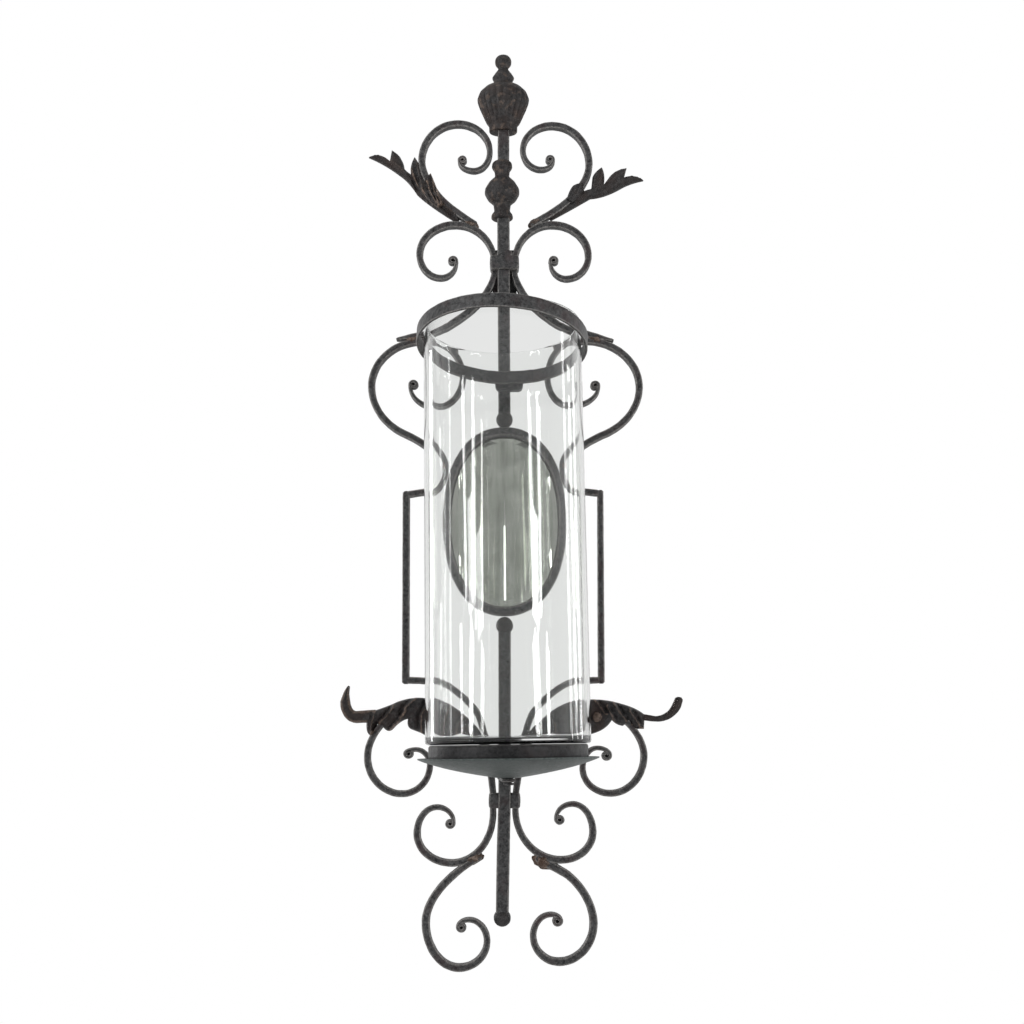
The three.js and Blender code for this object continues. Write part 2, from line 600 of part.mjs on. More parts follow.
for (const side of ['left', 'right']) {
  const room = {
    shoulder: barRoom(SHOULDER[side].knots),
    side: barRoom(SIDE[side].knots),
    upright: barRoom(UPRIGHT[side].knots),
    lower: barRoom(LOWER[side].knots),
    crest: barRoom(CREST[side].knots),
  };
  const leafRoom = plate(BASE_LEAF[side], FRAME_BACK + GAP, BASE_LEAF_DEPTH + 2 * GAP);
  const leaf = cut(baseLeaf(side), room.lower);
  const crest = cut(scroll(CREST[side]), room.shoulder);
  const crestLeaf = cut(plate(CREST_LEAF[side], FRAME_BACK, LEAF_DEPTH), room.crest, room.shoulder);
  place(`crest_scroll_${side}`, crest, forgedIron());
  place(`crest_leaf_${side}`, crestLeaf, castIron());
  place(`shoulder_scroll_${side}`, cut(scroll(SHOULDER[side]), room.side), forgedIron());
  place(`side_scroll_${side}`, cut(scroll(SIDE[side]), ovalRoom(), room.upright), forgedIron());
  place(`side_upright_${side}`, bar(UPRIGHT[side].knots), forgedIron());
  place(`lower_scroll_${side}`, cut(scroll(LOWER[side]), room.upright), forgedIron());
  place(`drop_scroll_${side}`, cut(scroll(DROP[side]), room.lower), forgedIron());
  place(`base_scroll_${side}`, cut(scroll(BASE[side]), leafRoom), forgedIron());
  place(`base_leaf_${side}`, leaf, castIron());
}

place('glass_hoop', cut(hoopBand(), rivetRoom()), forgedIron());
place('hoop_spacer', hoopSpacer(), forgedIron());
place('hoop_rivet', hoopRivet(), forgedIron());
place('drip_pan', dripPan(), panSheet(), glassStand);
place('glass_drum', glassDrum(), forgedIron(), glassStand);
place('pan_screw', panScrew(), forgedIron(), glassStand);
place('pan_arm', panArm(), forgedIron());
place('hanger_plate', hangerPlate(), forgedIron());
place('wall_bumper', wallBumper(), feltPad());
place('hurricane_glass', hurricaneGlass(), clearGlass(), glassStand);

export default sconce;
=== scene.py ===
# %% [markdown]
# # A wall sconce in forged iron, with a hurricane glass
# The sconce is a blacksmith's piece: bars bent into scrolls, cast leaves, an oval mirror, and a hoop and pan
# that hold a tall clear glass for a candle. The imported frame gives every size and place. This lesson dresses
# it: each cell adds one kind of piece or finish and prints what it made.

# %% Load the frame
import math

import bmesh
import bpy
import numpy as np
from mathutils import Matrix, Quaternion, Vector, geometry, noise


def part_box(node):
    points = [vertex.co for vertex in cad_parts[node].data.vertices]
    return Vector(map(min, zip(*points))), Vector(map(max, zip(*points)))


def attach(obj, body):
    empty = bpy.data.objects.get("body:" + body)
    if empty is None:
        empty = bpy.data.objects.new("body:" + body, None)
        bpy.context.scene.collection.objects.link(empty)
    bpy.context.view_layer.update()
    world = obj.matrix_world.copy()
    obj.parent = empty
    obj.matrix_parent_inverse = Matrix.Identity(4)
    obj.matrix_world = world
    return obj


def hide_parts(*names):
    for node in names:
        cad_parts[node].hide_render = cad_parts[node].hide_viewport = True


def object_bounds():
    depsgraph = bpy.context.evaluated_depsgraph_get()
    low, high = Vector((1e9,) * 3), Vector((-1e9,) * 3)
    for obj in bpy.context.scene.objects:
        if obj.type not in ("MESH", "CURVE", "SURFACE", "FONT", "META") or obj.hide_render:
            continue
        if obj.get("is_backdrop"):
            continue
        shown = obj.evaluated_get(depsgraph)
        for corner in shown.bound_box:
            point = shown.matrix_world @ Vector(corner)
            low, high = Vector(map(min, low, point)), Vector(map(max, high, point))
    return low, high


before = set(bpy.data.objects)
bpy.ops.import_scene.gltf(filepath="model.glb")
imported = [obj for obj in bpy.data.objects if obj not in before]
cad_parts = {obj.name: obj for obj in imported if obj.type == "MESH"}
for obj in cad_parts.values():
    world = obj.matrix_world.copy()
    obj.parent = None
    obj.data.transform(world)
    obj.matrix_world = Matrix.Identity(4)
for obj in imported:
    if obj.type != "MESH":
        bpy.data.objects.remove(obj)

cad_low, cad_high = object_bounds()
MM = 0.001
GLASS_Y = -108  # mm: the middle of the hurricane glass, off the wall

# %% [markdown]
# ## The camera and the studio
# The sconce hangs above eye level, so the camera looks up at it a little. The lens shift keeps the upright
# bars where the eye expects them. The studio is a pale floor, a bright room behind the sconce and a dimmer one
# in front, which gives dark iron its soft grey edges. Tall narrow lamps draw the long streaks on the glass.

# %% Place the camera
CAMERA_PLACE = (0, -1.130, -0.511)
CAMERA_PITCH = 98.8  # degrees: 90 is level
FOCAL_MM = 38.83
SENSOR_MM = 36
LENS_SHIFT = (0.00732, 0.0635)  # right and up, as shares of the frame

camera = bpy.data.objects.new("camera", bpy.data.cameras.new("camera"))
camera.location = CAMERA_PLACE
camera.rotation_euler = (math.radians(CAMERA_PITCH), 0, 0)
camera.data.lens = FOCAL_MM
camera.data.sensor_width = SENSOR_MM
camera.data.shift_x, camera.data.shift_y = LENS_SHIFT
bpy.context.scene.collection.objects.link(camera)
bpy.context.scene.camera = camera
print("camera looks up", round(CAMERA_PITCH - 90, 1), "degrees")


# %% A colour helper: sRGB hex to linear
def colour(hex_code):
    """The linear red, green, blue and alpha of an sRGB hex colour."""
    channels = [int(hex_code[i:i + 2], 16) / 255 for i in (1, 3, 5)]
    return [c / 12.92 if c <= 0.04045 else ((c + 0.055) / 1.055) ** 2.4 for c in channels] + [1]


# %% A node helper, used by every material
def add(tree, kind, links=None, values=None, **settings):
    """Adds a node. settings are its properties or named inputs; values and links go by input name or number."""
    node = tree.nodes.new(kind)
    for name, value in settings.items():
        if hasattr(node, name):
            setattr(node, name, value)
        else:
            node.inputs[name.replace("_", " ")].default_value = value
    for name, value in (values or {}).items():
        node.inputs[name].default_value = value
    for name, source in (links or {}).items():
        tree.links.new(source, node.inputs[name])
    return node


# %% Light the room
BACK_LIGHT = 0.84
BACKDROP_LIGHT = 1.0
FRONT_LIGHT = 0.40
LIGHT_TURNS = (-0.25, 0.55)  # how far back a ray points where the front light ends and the back light starts
STRIP_AWAY = 2.1  # m from the glass
STRIP_LAMPS = [
    # degrees round from the front, lowest and highest point in m, width in m, tilt in degrees, glow in W/m2/sr
    (-58, -0.14, 0.50, 0.10, 12, 15), (-45, -0.14, 0.50, 0.09, -10, 15),
    (36, -0.14, 0.50, 0.09, 9, 15), (48, -0.14, 0.50, 0.08, 0, 15),
    (-48, -0.16, 0.16, 0.36, 5, 7), (41, -0.16, 0.16, 0.34, -8, 7),
    (-65, -0.56, -0.20, 0.08, 6, 15), (-50, -0.58, -0.18, 0.17, -26, 14),
    (39, -0.58, -0.18, 0.16, 20, 14), (57, -0.56, -0.22, 0.14, -6, 14),
    (96, -0.60, 0.70, 0.07, 2, 9), (108, -0.60, 0.50, 0.05, -1, 9), (120, -0.60, 0.60, 0.07, 1, 9),
    (-128, -0.60, 0.60, 0.16, 0, 9), (0.0, -0.10, 0.16, 0.005, 0, 6),
]

world = bpy.data.worlds.new("studio")
world.use_nodes = True
world.node_tree.nodes.clear()
sky = world.node_tree
direction = add(sky, "ShaderNodeTexCoord").outputs["Generated"]
parts = add(sky, "ShaderNodeSeparateXYZ", {"Vector": direction})
ramp = add(sky, "ShaderNodeMapRange", {"Value": parts.outputs["Y"]}, From_Min=LIGHT_TURNS[0],
           From_Max=LIGHT_TURNS[1], To_Min=FRONT_LIGHT, To_Max=BACK_LIGHT)
seen = add(sky, "ShaderNodeLightPath").outputs["Is Camera Ray"]
# Sockets 0, 2 and 3 of a plain Mix are its share and its two ends.
strength = add(sky, "ShaderNodeMix", {0: seen, 2: ramp.outputs["Result"]}, {3: BACKDROP_LIGHT})
backdrop = add(sky, "ShaderNodeBackground", {"Strength": strength.outputs[0]}, Color=colour("#FFFFFF"))
add(sky, "ShaderNodeOutputWorld", {"Surface": backdrop.outputs["Background"]})
bpy.context.scene.world = world
bpy.context.scene.view_settings.view_transform = "Standard"  # paper white stays white


def lamp(name, place, aim, width, height, glow, tilt=0):
    """A flat lamp that faces the point aim, tilted in its own plane."""
    data = bpy.data.lights.new(name, "AREA")
    data.shape = "RECTANGLE"
    data.size, data.size_y, data.energy = width, height, glow * math.pi * width * height
    obj = bpy.data.objects.new(name, data)
    facing = (Vector(aim) - Vector(place)).to_track_quat("-Z", "Y")
    obj.location = place
    obj.rotation_euler = (facing @ Quaternion((0, 0, 1), math.radians(tilt))).to_euler()
    bpy.context.scene.collection.objects.link(obj)


for number, (angle, low, high, width, tilt, glow) in enumerate(STRIP_LAMPS):
    turn, middle = math.radians(angle), (low + high) / 2
    place = (STRIP_AWAY * math.sin(turn), GLASS_Y * MM - STRIP_AWAY * math.cos(turn), middle)
    lamp(f"strip_lamp_{number}", place, (0, GLASS_Y * MM, middle), width, high - low, glow, tilt)
lamp("top_lamp", place=(-0.9, -0.9, 1.4), aim=(0, 0, -0.2), width=0.9, height=0.9, glow=3.0)
print("strip lamps:", len(STRIP_LAMPS))


# %% Lay the floor
FLOOR_Z = -1.3  # m
FLOOR_HALF = 1.6  # m


def build(name, points, faces, material=None, sharp=38):
    """Makes an object from points in metres and faces; edges bent more than sharp degrees stay crisp."""
    mesh = bpy.data.meshes.new(name)
    mesh.from_pydata([tuple(p) for p in points], [], [tuple(f) for f in faces])
    mesh.validate()
    shell = bmesh.new()
    shell.from_mesh(mesh)
    bmesh.ops.recalc_face_normals(shell, faces=shell.faces)
    shell.to_mesh(mesh)
    shell.free()
    mesh.shade_smooth()
    mesh.set_sharp_from_angle(angle=math.radians(sharp))
    obj = bpy.data.objects.new(name, mesh)
    bpy.context.scene.collection.objects.link(obj)
    if material:
        mesh.materials.append(material)
    return obj


corners = [(-1, -1), (1, -1), (1, 1), (-1, 1)]
floor = build("floor", [(x * FLOOR_HALF, y * FLOOR_HALF, FLOOR_Z) for x, y in corners], [(0, 1, 2, 3)])
floor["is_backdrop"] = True
print("floor at", FLOOR_Z)

# %% [markdown]
# ## Finishes
# Blackened iron is steel with a thin dark scale of oxide under wax. The scale isn't even: it goes brown where
# fire or weld heat touched it, and edges rub back to grey. One recipe takes the colours and the grain size,
# and each piece of iron calls it with its own. A vertex value called "rub" says where hands and brushes reach.


# %% Blackened iron
MIX_A, MIX_B, MIX_OUT = 6, 7, 2  # a Mix node's colour sockets
MOTTLE_PER_M = 260  # flakes of scale, about 4 mm across
PATCH_PER_M = 34  # areas warmed by the fire, about 30 mm across
SPECKLE_PER_M = 420  # specks where a rub breaks through, a little over 2 mm across
TOOTH_PER_M = 500  # the fine tooth of the scale, drawn 2 mm coarse so that it shows
TOOTH_MM = 0.3


def fresh(name):
    """An empty material, its node tree, and the place on the piece that its patterns follow."""
    material = bpy.data.materials.new(name)
    material.use_nodes = True
    tree = material.node_tree
    tree.nodes.clear()
    return material, tree, add(tree, "ShaderNodeTexCoord").outputs["Object"]


def iron(name, dark, light, warm_colour, rub_colour, roughness, grain_mm, grain_depth, warm=0.45, pores=False):
    """Blackened iron: mottled scale, brown warm areas, grey rubbed edges and a hammered or cast grain."""
    material, tree, place = fresh(name)
    mottle = add(tree, "ShaderNodeTexNoise", {"Vector": place}, Scale=MOTTLE_PER_M, Detail=7, Roughness=0.78,
                 Distortion=0.5)
    mottle_mask = add(tree, "ShaderNodeMapRange", {"Value": mottle.outputs["Fac"]}, From_Min=0.36,
                      From_Max=0.66)
    scale = add(tree, "ShaderNodeMix", {0: mottle_mask.outputs["Result"]},
                {MIX_A: colour(dark), MIX_B: colour(light)}, data_type="RGBA")
    # The warmer the iron, the lower the noise has to be for a brown patch.
    patches = add(tree, "ShaderNodeTexNoise", {"Vector": place}, Scale=PATCH_PER_M, Detail=7, Roughness=0.72)
    patch_mask = add(tree, "ShaderNodeMapRange", {"Value": patches.outputs["Fac"]}, From_Min=0.64 - warm * 0.3,
                     From_Max=0.80 - warm * 0.24, To_Max=0.85)
    toned = add(tree, "ShaderNodeMix", {0: patch_mask.outputs["Result"], MIX_A: scale.outputs[MIX_OUT]},
                {MIX_B: colour(warm_colour)}, data_type="RGBA")
    rub = add(tree, "ShaderNodeAttribute", attribute_name="rub")
    speckle = add(tree, "ShaderNodeTexNoise", {"Vector": place}, Scale=SPECKLE_PER_M, Detail=4, Roughness=0.7)
    rub_mask = add(tree, "ShaderNodeMath", {0: rub.outputs["Fac"], 1: speckle.outputs["Fac"]},
                   operation="MULTIPLY")
    rub_edge = add(tree, "ShaderNodeMapRange", {"Value": rub_mask.outputs["Value"]}, From_Min=0.22,
                   From_Max=0.60)
    skin = add(tree, "ShaderNodeMix", {0: rub_edge.outputs["Result"], MIX_A: toned.outputs[MIX_OUT]},
               {MIX_B: colour(rub_colour)}, data_type="RGBA")
    gloss = add(tree, "ShaderNodeMapRange", {"Value": mottle.outputs["Fac"]}, From_Min=0.3, From_Max=0.7,
                To_Min=roughness - 0.10, To_Max=roughness + 0.14)
    dents = add(tree, "ShaderNodeTexVoronoi", {"Vector": place}, feature="SMOOTH_F1", Scale=1 / (grain_mm * MM),
                Smoothness=0.6)
    fine = add(tree, "ShaderNodeTexNoise", {"Vector": place}, Scale=TOOTH_PER_M, Detail=5, Roughness=0.65)
    shape = add(tree, "ShaderNodeBump", {"Height": dents.outputs["Distance"]}, Distance=grain_depth * MM,
                Strength=1.0, invert=pores)
    surface = add(tree, "ShaderNodeBump", {"Height": fine.outputs["Fac"], "Normal": shape.outputs["Normal"]},
                  Distance=TOOTH_MM * MM, Strength=1.0)
    shader = add(tree, "ShaderNodeBsdfPrincipled",
                 {"Base Color": skin.outputs[MIX_OUT], "Roughness": gloss.outputs["Result"],
                  "Normal": surface.outputs["Normal"]}, Metallic=0.5, Specular_IOR_Level=0.4)
    add(tree, "ShaderNodeOutputMaterial", {"Surface": shader.outputs["BSDF"]})
    return material


# Bar worked hot under the hammer: light and dark scale over shallow dents that catch the light.
FORGED = iron("forged_iron_blackened", "#212123", "#626262", "#46393A", "#908D8A", 0.46,
              grain_mm=5, grain_depth=0.5)
# Iron poured in sand: browner and duller, with small pores.
CAST = iron("cast_iron_blackened", "#1D1D1E", "#4C4A4A", "#3A2F2B", "#8A776A", 0.5,
            grain_mm=1.6, grain_depth=0.25, warm=0.6, pores=True)
# A bead left as it cooled: brown heat scale, fine and lumpy.
WELD = iron("weld_heat_scale", "#262221", "#5A5049", "#4F3B30", "#9A8A80", 0.42,
            grain_mm=1.4, grain_depth=0.3, warm=0.8)
# Sheet spun over a form and painted satin black: even, smooth and a little green.
PAN = iron("spun_sheet_satin_black", "#3B4240", "#4C5452", "#363B39", "#8A9290", 0.40,
           grain_mm=16, grain_depth=0.1, warm=0.3)
# Rolled strip, blackened: the darkest iron, with a slow wave left by the rolls.
DRUM = iron("rolled_strip_blackened", "#171718", "#3A3A3B", "#2C2727", "#7A7876", 0.42,
            grain_mm=7, grain_depth=0.4)
print("iron finishes:", [m.name for m in (FORGED, CAST, WELD, PAN, DRUM)])


# %% [markdown]
# The pad and the board behind the mirror are the only soft or wooden things, and both are hidden behind iron.
# Felt is matted wool, so it has no gloss at all. Hardboard is pressed wood fibre, with a faint mottle.


# %% Felt and hardboard
def matted(name, dark, light, fibre_mm, roughness):
    """A dull fibrous finish with two mixed colours."""
    material, tree, place = fresh(name)
    fibres = add(tree, "ShaderNodeTexNoise", {"Vector": place}, Scale=1 / (fibre_mm * MM), Detail=6,
                 Distortion=1.2)
    mix = add(tree, "ShaderNodeMix", {0: fibres.outputs["Fac"]},
              {MIX_A: colour(dark), MIX_B: colour(light)}, data_type="RGBA")
    fuzz = add(tree, "ShaderNodeBump", {"Height": fibres.outputs["Fac"]}, Distance=0.3 * MM)
    shader = add(tree, "ShaderNodeBsdfPrincipled",
                 {"Base Color": mix.outputs[MIX_OUT], "Normal": fuzz.outputs["Normal"]}, Roughness=roughness)
    add(tree, "ShaderNodeOutputMaterial", {"Surface": shader.outputs["BSDF"]})
    return material


FELT = matted("felt_pressed_wool", "#1D1D1F", "#3A3A3C", 1.2, 1.0)
BOARD = matted("hardboard_pressed", "#4A3626", "#6E5439", 2.5, 0.85)
print("hidden finishes:", FELT.name, BOARD.name)

# %% [markdown]
# Clear soda-lime glass bends light by an IOR of 1.5 and is faintly green in the thickness of its base. The
# mirror is the same glass with silver behind it, so all that the eye sees is the silver, a little grey with age.


# %% Glass and mirror
def clear_glass():
    """Blown soda-lime glass: smooth, with a slow ripple from the mould."""
    material, tree, place = fresh("soda_lime_glass_blown")
    stretched = add(tree, "ShaderNodeMapping", {"Vector": place}, Scale=(1, 1, 0.12))
    ripple = add(tree, "ShaderNodeTexNoise", {"Vector": stretched.outputs["Vector"]}, Scale=30, Detail=2)
    waves = add(tree, "ShaderNodeBump", {"Height": ripple.outputs["Fac"]}, Distance=0.3 * MM, Strength=0.35)
    shader = add(tree, "ShaderNodeBsdfPrincipled", {"Normal": waves.outputs["Normal"]},
                 Base_Color=colour("#FCFDFC"), Roughness=0.0, IOR=1.5, Transmission_Weight=1.0)
    add(tree, "ShaderNodeOutputMaterial", {"Surface": shader.outputs["BSDF"]})
    return material


def old_mirror():
    """Silvered glass: a clean reflection, with a faint uneven grey bloom, and fine upright streaks in its colour
    that are a painted reflection of the glass's bright streaks.
    """
    material, tree, place = fresh("mirror_glass_silvered")
    bloom = add(tree, "ShaderNodeTexNoise", {"Vector": place}, Scale=22, Detail=5, Distortion=0.8)
    # Fine upright streaks: a painted reflection, lighter and darker bands mixed into the silver's colour together
    # with the bloom.
    tall = add(tree, "ShaderNodeMapping", {"Vector": place}, Scale=(1, 1, 0.05))
    painted_reflection_streaks = add(tree, "ShaderNodeTexNoise", {"Vector": tall.outputs["Vector"]}, Scale=130, Detail=4)
    both = add(tree, "ShaderNodeMath", {0: bloom.outputs["Fac"], 1: painted_reflection_streaks.outputs["Fac"]}, operation="ADD")
    spread = add(tree, "ShaderNodeMapRange", {"Value": both.outputs["Value"]}, From_Min=0.7, From_Max=1.3)
    tint = add(tree, "ShaderNodeMix", {0: spread.outputs["Result"]},
               {MIX_A: colour("#DFE1DA"), MIX_B: colour("#B6BAB0")}, data_type="RGBA")
    haze = add(tree, "ShaderNodeMapRange", {"Value": bloom.outputs["Fac"]}, From_Min=0.35, From_Max=0.8,
               To_Min=0.0, To_Max=0.05)
    shader = add(tree, "ShaderNodeBsdfPrincipled",
                 {"Base Color": tint.outputs[MIX_OUT], "Roughness": haze.outputs["Result"]}, Metallic=1.0)
    add(tree, "ShaderNodeOutputMaterial", {"Surface": shader.outputs["BSDF"]})
    return material


GLASS = clear_glass()
MIRROR = old_mirror()
print("glass finishes:", GLASS.name, MIRROR.name)

# %% [markdown]
# ## How a piece is made
# Most pieces here are rings of points joined into a skin: round a bar, round a turned casting, or round the
# hoop. So one function joins rings and another builds the piece from them. A third dents the rings as a hammer
# does, and a last one gives each finished piece its body and hides the plain solid that it stands for.

# %% Join rings of points into a skin
FRAME_BACK = -6  # mm: the back of every bar, off the wall
STRIP = 8
BAR = 12
POINTED = 0.02  # mm: the radius where a turned piece closes on its axis
SEED_STEPS = (7.31, 3.17, 1.93)  # each seed moves the hammer's noise on by this much


def skin(rings, closed=False):
    """Faces between rings of equal length. A closed skin joins its last ring to its first."""
    count, size = len(rings), len(rings[0])
    faces = []
    for i in range(count if closed else count - 1):
        a, b = i * size, (i + 1) % count * size
        faces += [(a + k, a + (k + 1) % size, b + (k + 1) % size, b + k) for k in range(size)]
    if not closed:
        faces += [tuple(range(size))[::-1], tuple(range((count - 1) * size, count * size))]
    return faces


def shell(name, rings, material, closed=False, sharp=38):
    """Builds a piece from rings of points in millimetres."""
    return build(name, np.array(rings).reshape(-1, 3) * MM, skin(rings, closed), material, sharp)


def hammered(rings, depth_mm, size_mm, seed):
    """Moves every point in or out from its ring's middle by a slow noise, as hammer blows leave it."""
    shift = Vector([seed * step for step in SEED_STEPS])
    out = []
    for ring in rings:
        middle = np.mean(ring, axis=0)
        for point in ring:
            away = point - middle
            length = np.linalg.norm(away)
            blow = noise.noise(Vector(point / size_mm) + shift)
            chatter = noise.noise(Vector(point / size_mm * 2.3) + shift)
            push = (blow + 0.5 * chatter) * depth_mm
            out.append(point + away / length * push if length > 1e-6 else point)
    return np.array(out).reshape(np.shape(rings))


def set_rub(obj, values):
    """Stores how much each point is rubbed, from 0 in hollows to 1 on edges; one value does for all points."""
    layer = obj.data.attributes.new("rub", "FLOAT", "POINT")
    values = np.broadcast_to(np.asarray(values, np.float32), len(obj.data.vertices))
    layer.data.foreach_set("value", np.clip(values, 0, 1))


def dress(obj, slot, *nodes, body="frame"):
    """Makes a piece ride its body and hides the CAD nodes that it stands for; slot is not used."""
    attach(obj, body)
    if nodes:
        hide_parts(*nodes)
    return obj


print("a bar is", BAR, "mm square and a strip", STRIP, "mm thick")

# %% [markdown]
# ## Bent bars
# A smith bends a bar through a few places, and between them the bar is one smooth arc. Each scroll below is
# those places as knots: how far right, how high, the heading in degrees and the width of the bar, in
# millimetres. A Bezier curve with the right handles follows the arc. The end is rolled up round a small eye.

# %% Follow a bent bar
STEP = 1.6  # mm between rings
ROLL_STEPS = 30
ROLL_TURNS = 0.97  # how far round a rolled end goes
ROLL_MIDDLE, ROLL_TIP = 0.44, 0.62  # a roll's tip: how far out it ends and how wide, as shares of its radius


def arc(start, end):
    """Points [x, z, heading, width] along the single arc that joins two knots."""
    p0, p3 = np.array(start[:2], float), np.array(end[:2], float)
    heading = math.radians(start[2])
    turn = math.radians((end[2] - start[2] + 180) % 360 - 180)
    leave = np.array([math.cos(heading), math.sin(heading)])
    arrive = np.array([math.cos(heading + turn), math.sin(heading + turn)])
    chord = p3 - p0
    if abs(turn) < math.radians(2):
        p1, p2 = p0 + chord / 3, p3 - chord / 3
    else:
        cross = leave[0] * arrive[1] - leave[1] * arrive[0]
        share = 4 / 3 * math.tan(turn / 4) / math.tan(turn / 2)
        p1 = p0 + leave * share * (chord[0] * arrive[1] - chord[1] * arrive[0]) / cross
        p2 = p3 - arrive * share * (leave[0] * chord[1] - leave[1] * chord[0]) / cross
    length = (np.linalg.norm(chord) + sum(np.linalg.norm(v) for v in (p1 - p0, p2 - p1, p3 - p2))) / 2
    steps = max(2, round(length / STEP))
    for t in np.linspace(0, 1, steps + 1):
        s = 1 - t
        point = s**3 * p0 + 3 * s * s * t * p1 + 3 * s * t * t * p2 + t**3 * p3
        slope = s * s * (p1 - p0) + 2 * s * t * (p2 - p1) + t * t * (p3 - p2)
        yield [*point, math.atan2(slope[1], slope[0]), s * start[3] + t * end[3]]


def along(knots):
    """Every arc of a bar, end to end."""
    line = []
    for start, end in zip(knots, knots[1:]):
        line += list(arc(start, end))[1 if line else 0:]
    return line


def rolled(line, roll):
    """Carries a bar on round the roll [x, z, radius] until its tip tucks in against itself."""
    x, z, radius = roll
    last_x, last_z, heading, width = line[-1]
    start = math.atan2(last_z - z, last_x - x)
    reach = math.hypot(last_x - x, last_z - z)
    sense = 1 if math.cos(start) * math.sin(heading) > math.sin(start) * math.cos(heading) else -1
    for step in range(1, ROLL_STEPS + 1):
        t = step / ROLL_STEPS
        angle = start + sense * t * math.tau * ROLL_TURNS
        r = reach + (radius * ROLL_MIDDLE - reach) * t
        line.append([x + r * math.cos(angle), z + r * math.sin(angle), angle + sense * math.pi / 2,
                     width + (radius * ROLL_TIP - width) * t])
    return line


print("rings every", STEP, "mm")

# %% [markdown]
# The section is a rounded rectangle: a bar that was square, with its corners knocked down by the hammer. At
# each end the section shrinks over the last few millimetres, so that the tip is blunt and not a cut face.


# %% Sweep the section along the bar
SUNK = 0.15  # mm: crossing bars lie this far apart, so that their faces never share a plane
BLOW = 6.0  # mm between hammer marks


def section(width, thick, corner, flats=3, arcs=5):
    """Points round a rounded rectangle, [across, towards the wall], and how close each is to a corner."""
    corner = min(corner, width * 0.46, thick * 0.46)
    points, rub = [], []
    for sx, sy, first in [(1, 1, 0), (-1, 1, 90), (-1, -1, 180), (1, -1, 270)]:
        for k in range(arcs):
            angle = math.radians(first + 90 * k / (arcs - 1))
            points.append((sx * (width / 2 - corner) + corner * math.cos(angle),
                           sy * (thick / 2 - corner) + corner * math.sin(angle)))
            rub.append(1 - abs(k / (arcs - 1) - 0.5))
    full, full_rub = [], []
    for k, point in enumerate(points):
        full.append(point)
        full_rub.append(rub[k])
        if k % arcs == arcs - 1:
            after = points[(k + 1) % len(points)]
            run = np.array(after) - point
            full += [tuple(np.array(point) + run * j / (flats + 1)) for j in range(1, flats + 1)]
            full_rub += [0.0] * flats
    return np.array(full), np.array(full_rub)


def sweep(name, line, material, thick=STRIP, corner=1.8, blunt=3.0, dent=0.2, seed=0, worn=1.0):
    """A bar of that thickness along the line, with blunt ends, and sunk a hair by its own seed."""
    sunk = SUNK * (seed % 4)
    line = np.array(line)
    travelled = np.concatenate([[0], np.cumsum(np.linalg.norm(np.diff(line[:, :2], axis=0), axis=1))])
    rings, rub = [], []
    middle_y = FRAME_BACK - thick / 2
    for (x, z, heading, width), gone in zip(line, travelled):
        ends = min(gone, travelled[-1] - gone) / blunt
        shrink = 0.55 + 0.45 * math.sqrt(1 - (1 - min(ends, 1)) ** 2)
        points, edge = section(width * shrink, thick * (0.75 + 0.25 * shrink), corner)
        across = np.array([-math.sin(heading), 0, math.cos(heading)])
        ring = [np.array([x, middle_y, z]) + across * u + np.array([0, v, 0]) for u, v in points]
        rings.append(ring)
        rub.append(edge)
    rings = hammered(np.array(rings), dent, BLOW, seed)
    rings[:, :, 1] = np.clip(rings[:, :, 1], FRAME_BACK - thick + sunk, FRAME_BACK - sunk)
    obj = shell(name, rings, material)
    set_rub(obj, worn * np.concatenate(rub))
    return obj


print("section points:", len(section(STRIP, STRIP, 1.8)[0]))

# %% [markdown]
# The knots follow. Left and right are mates made by hand, so each side has its own. Both run in pairs from
# the crest down to the drop scrolls.

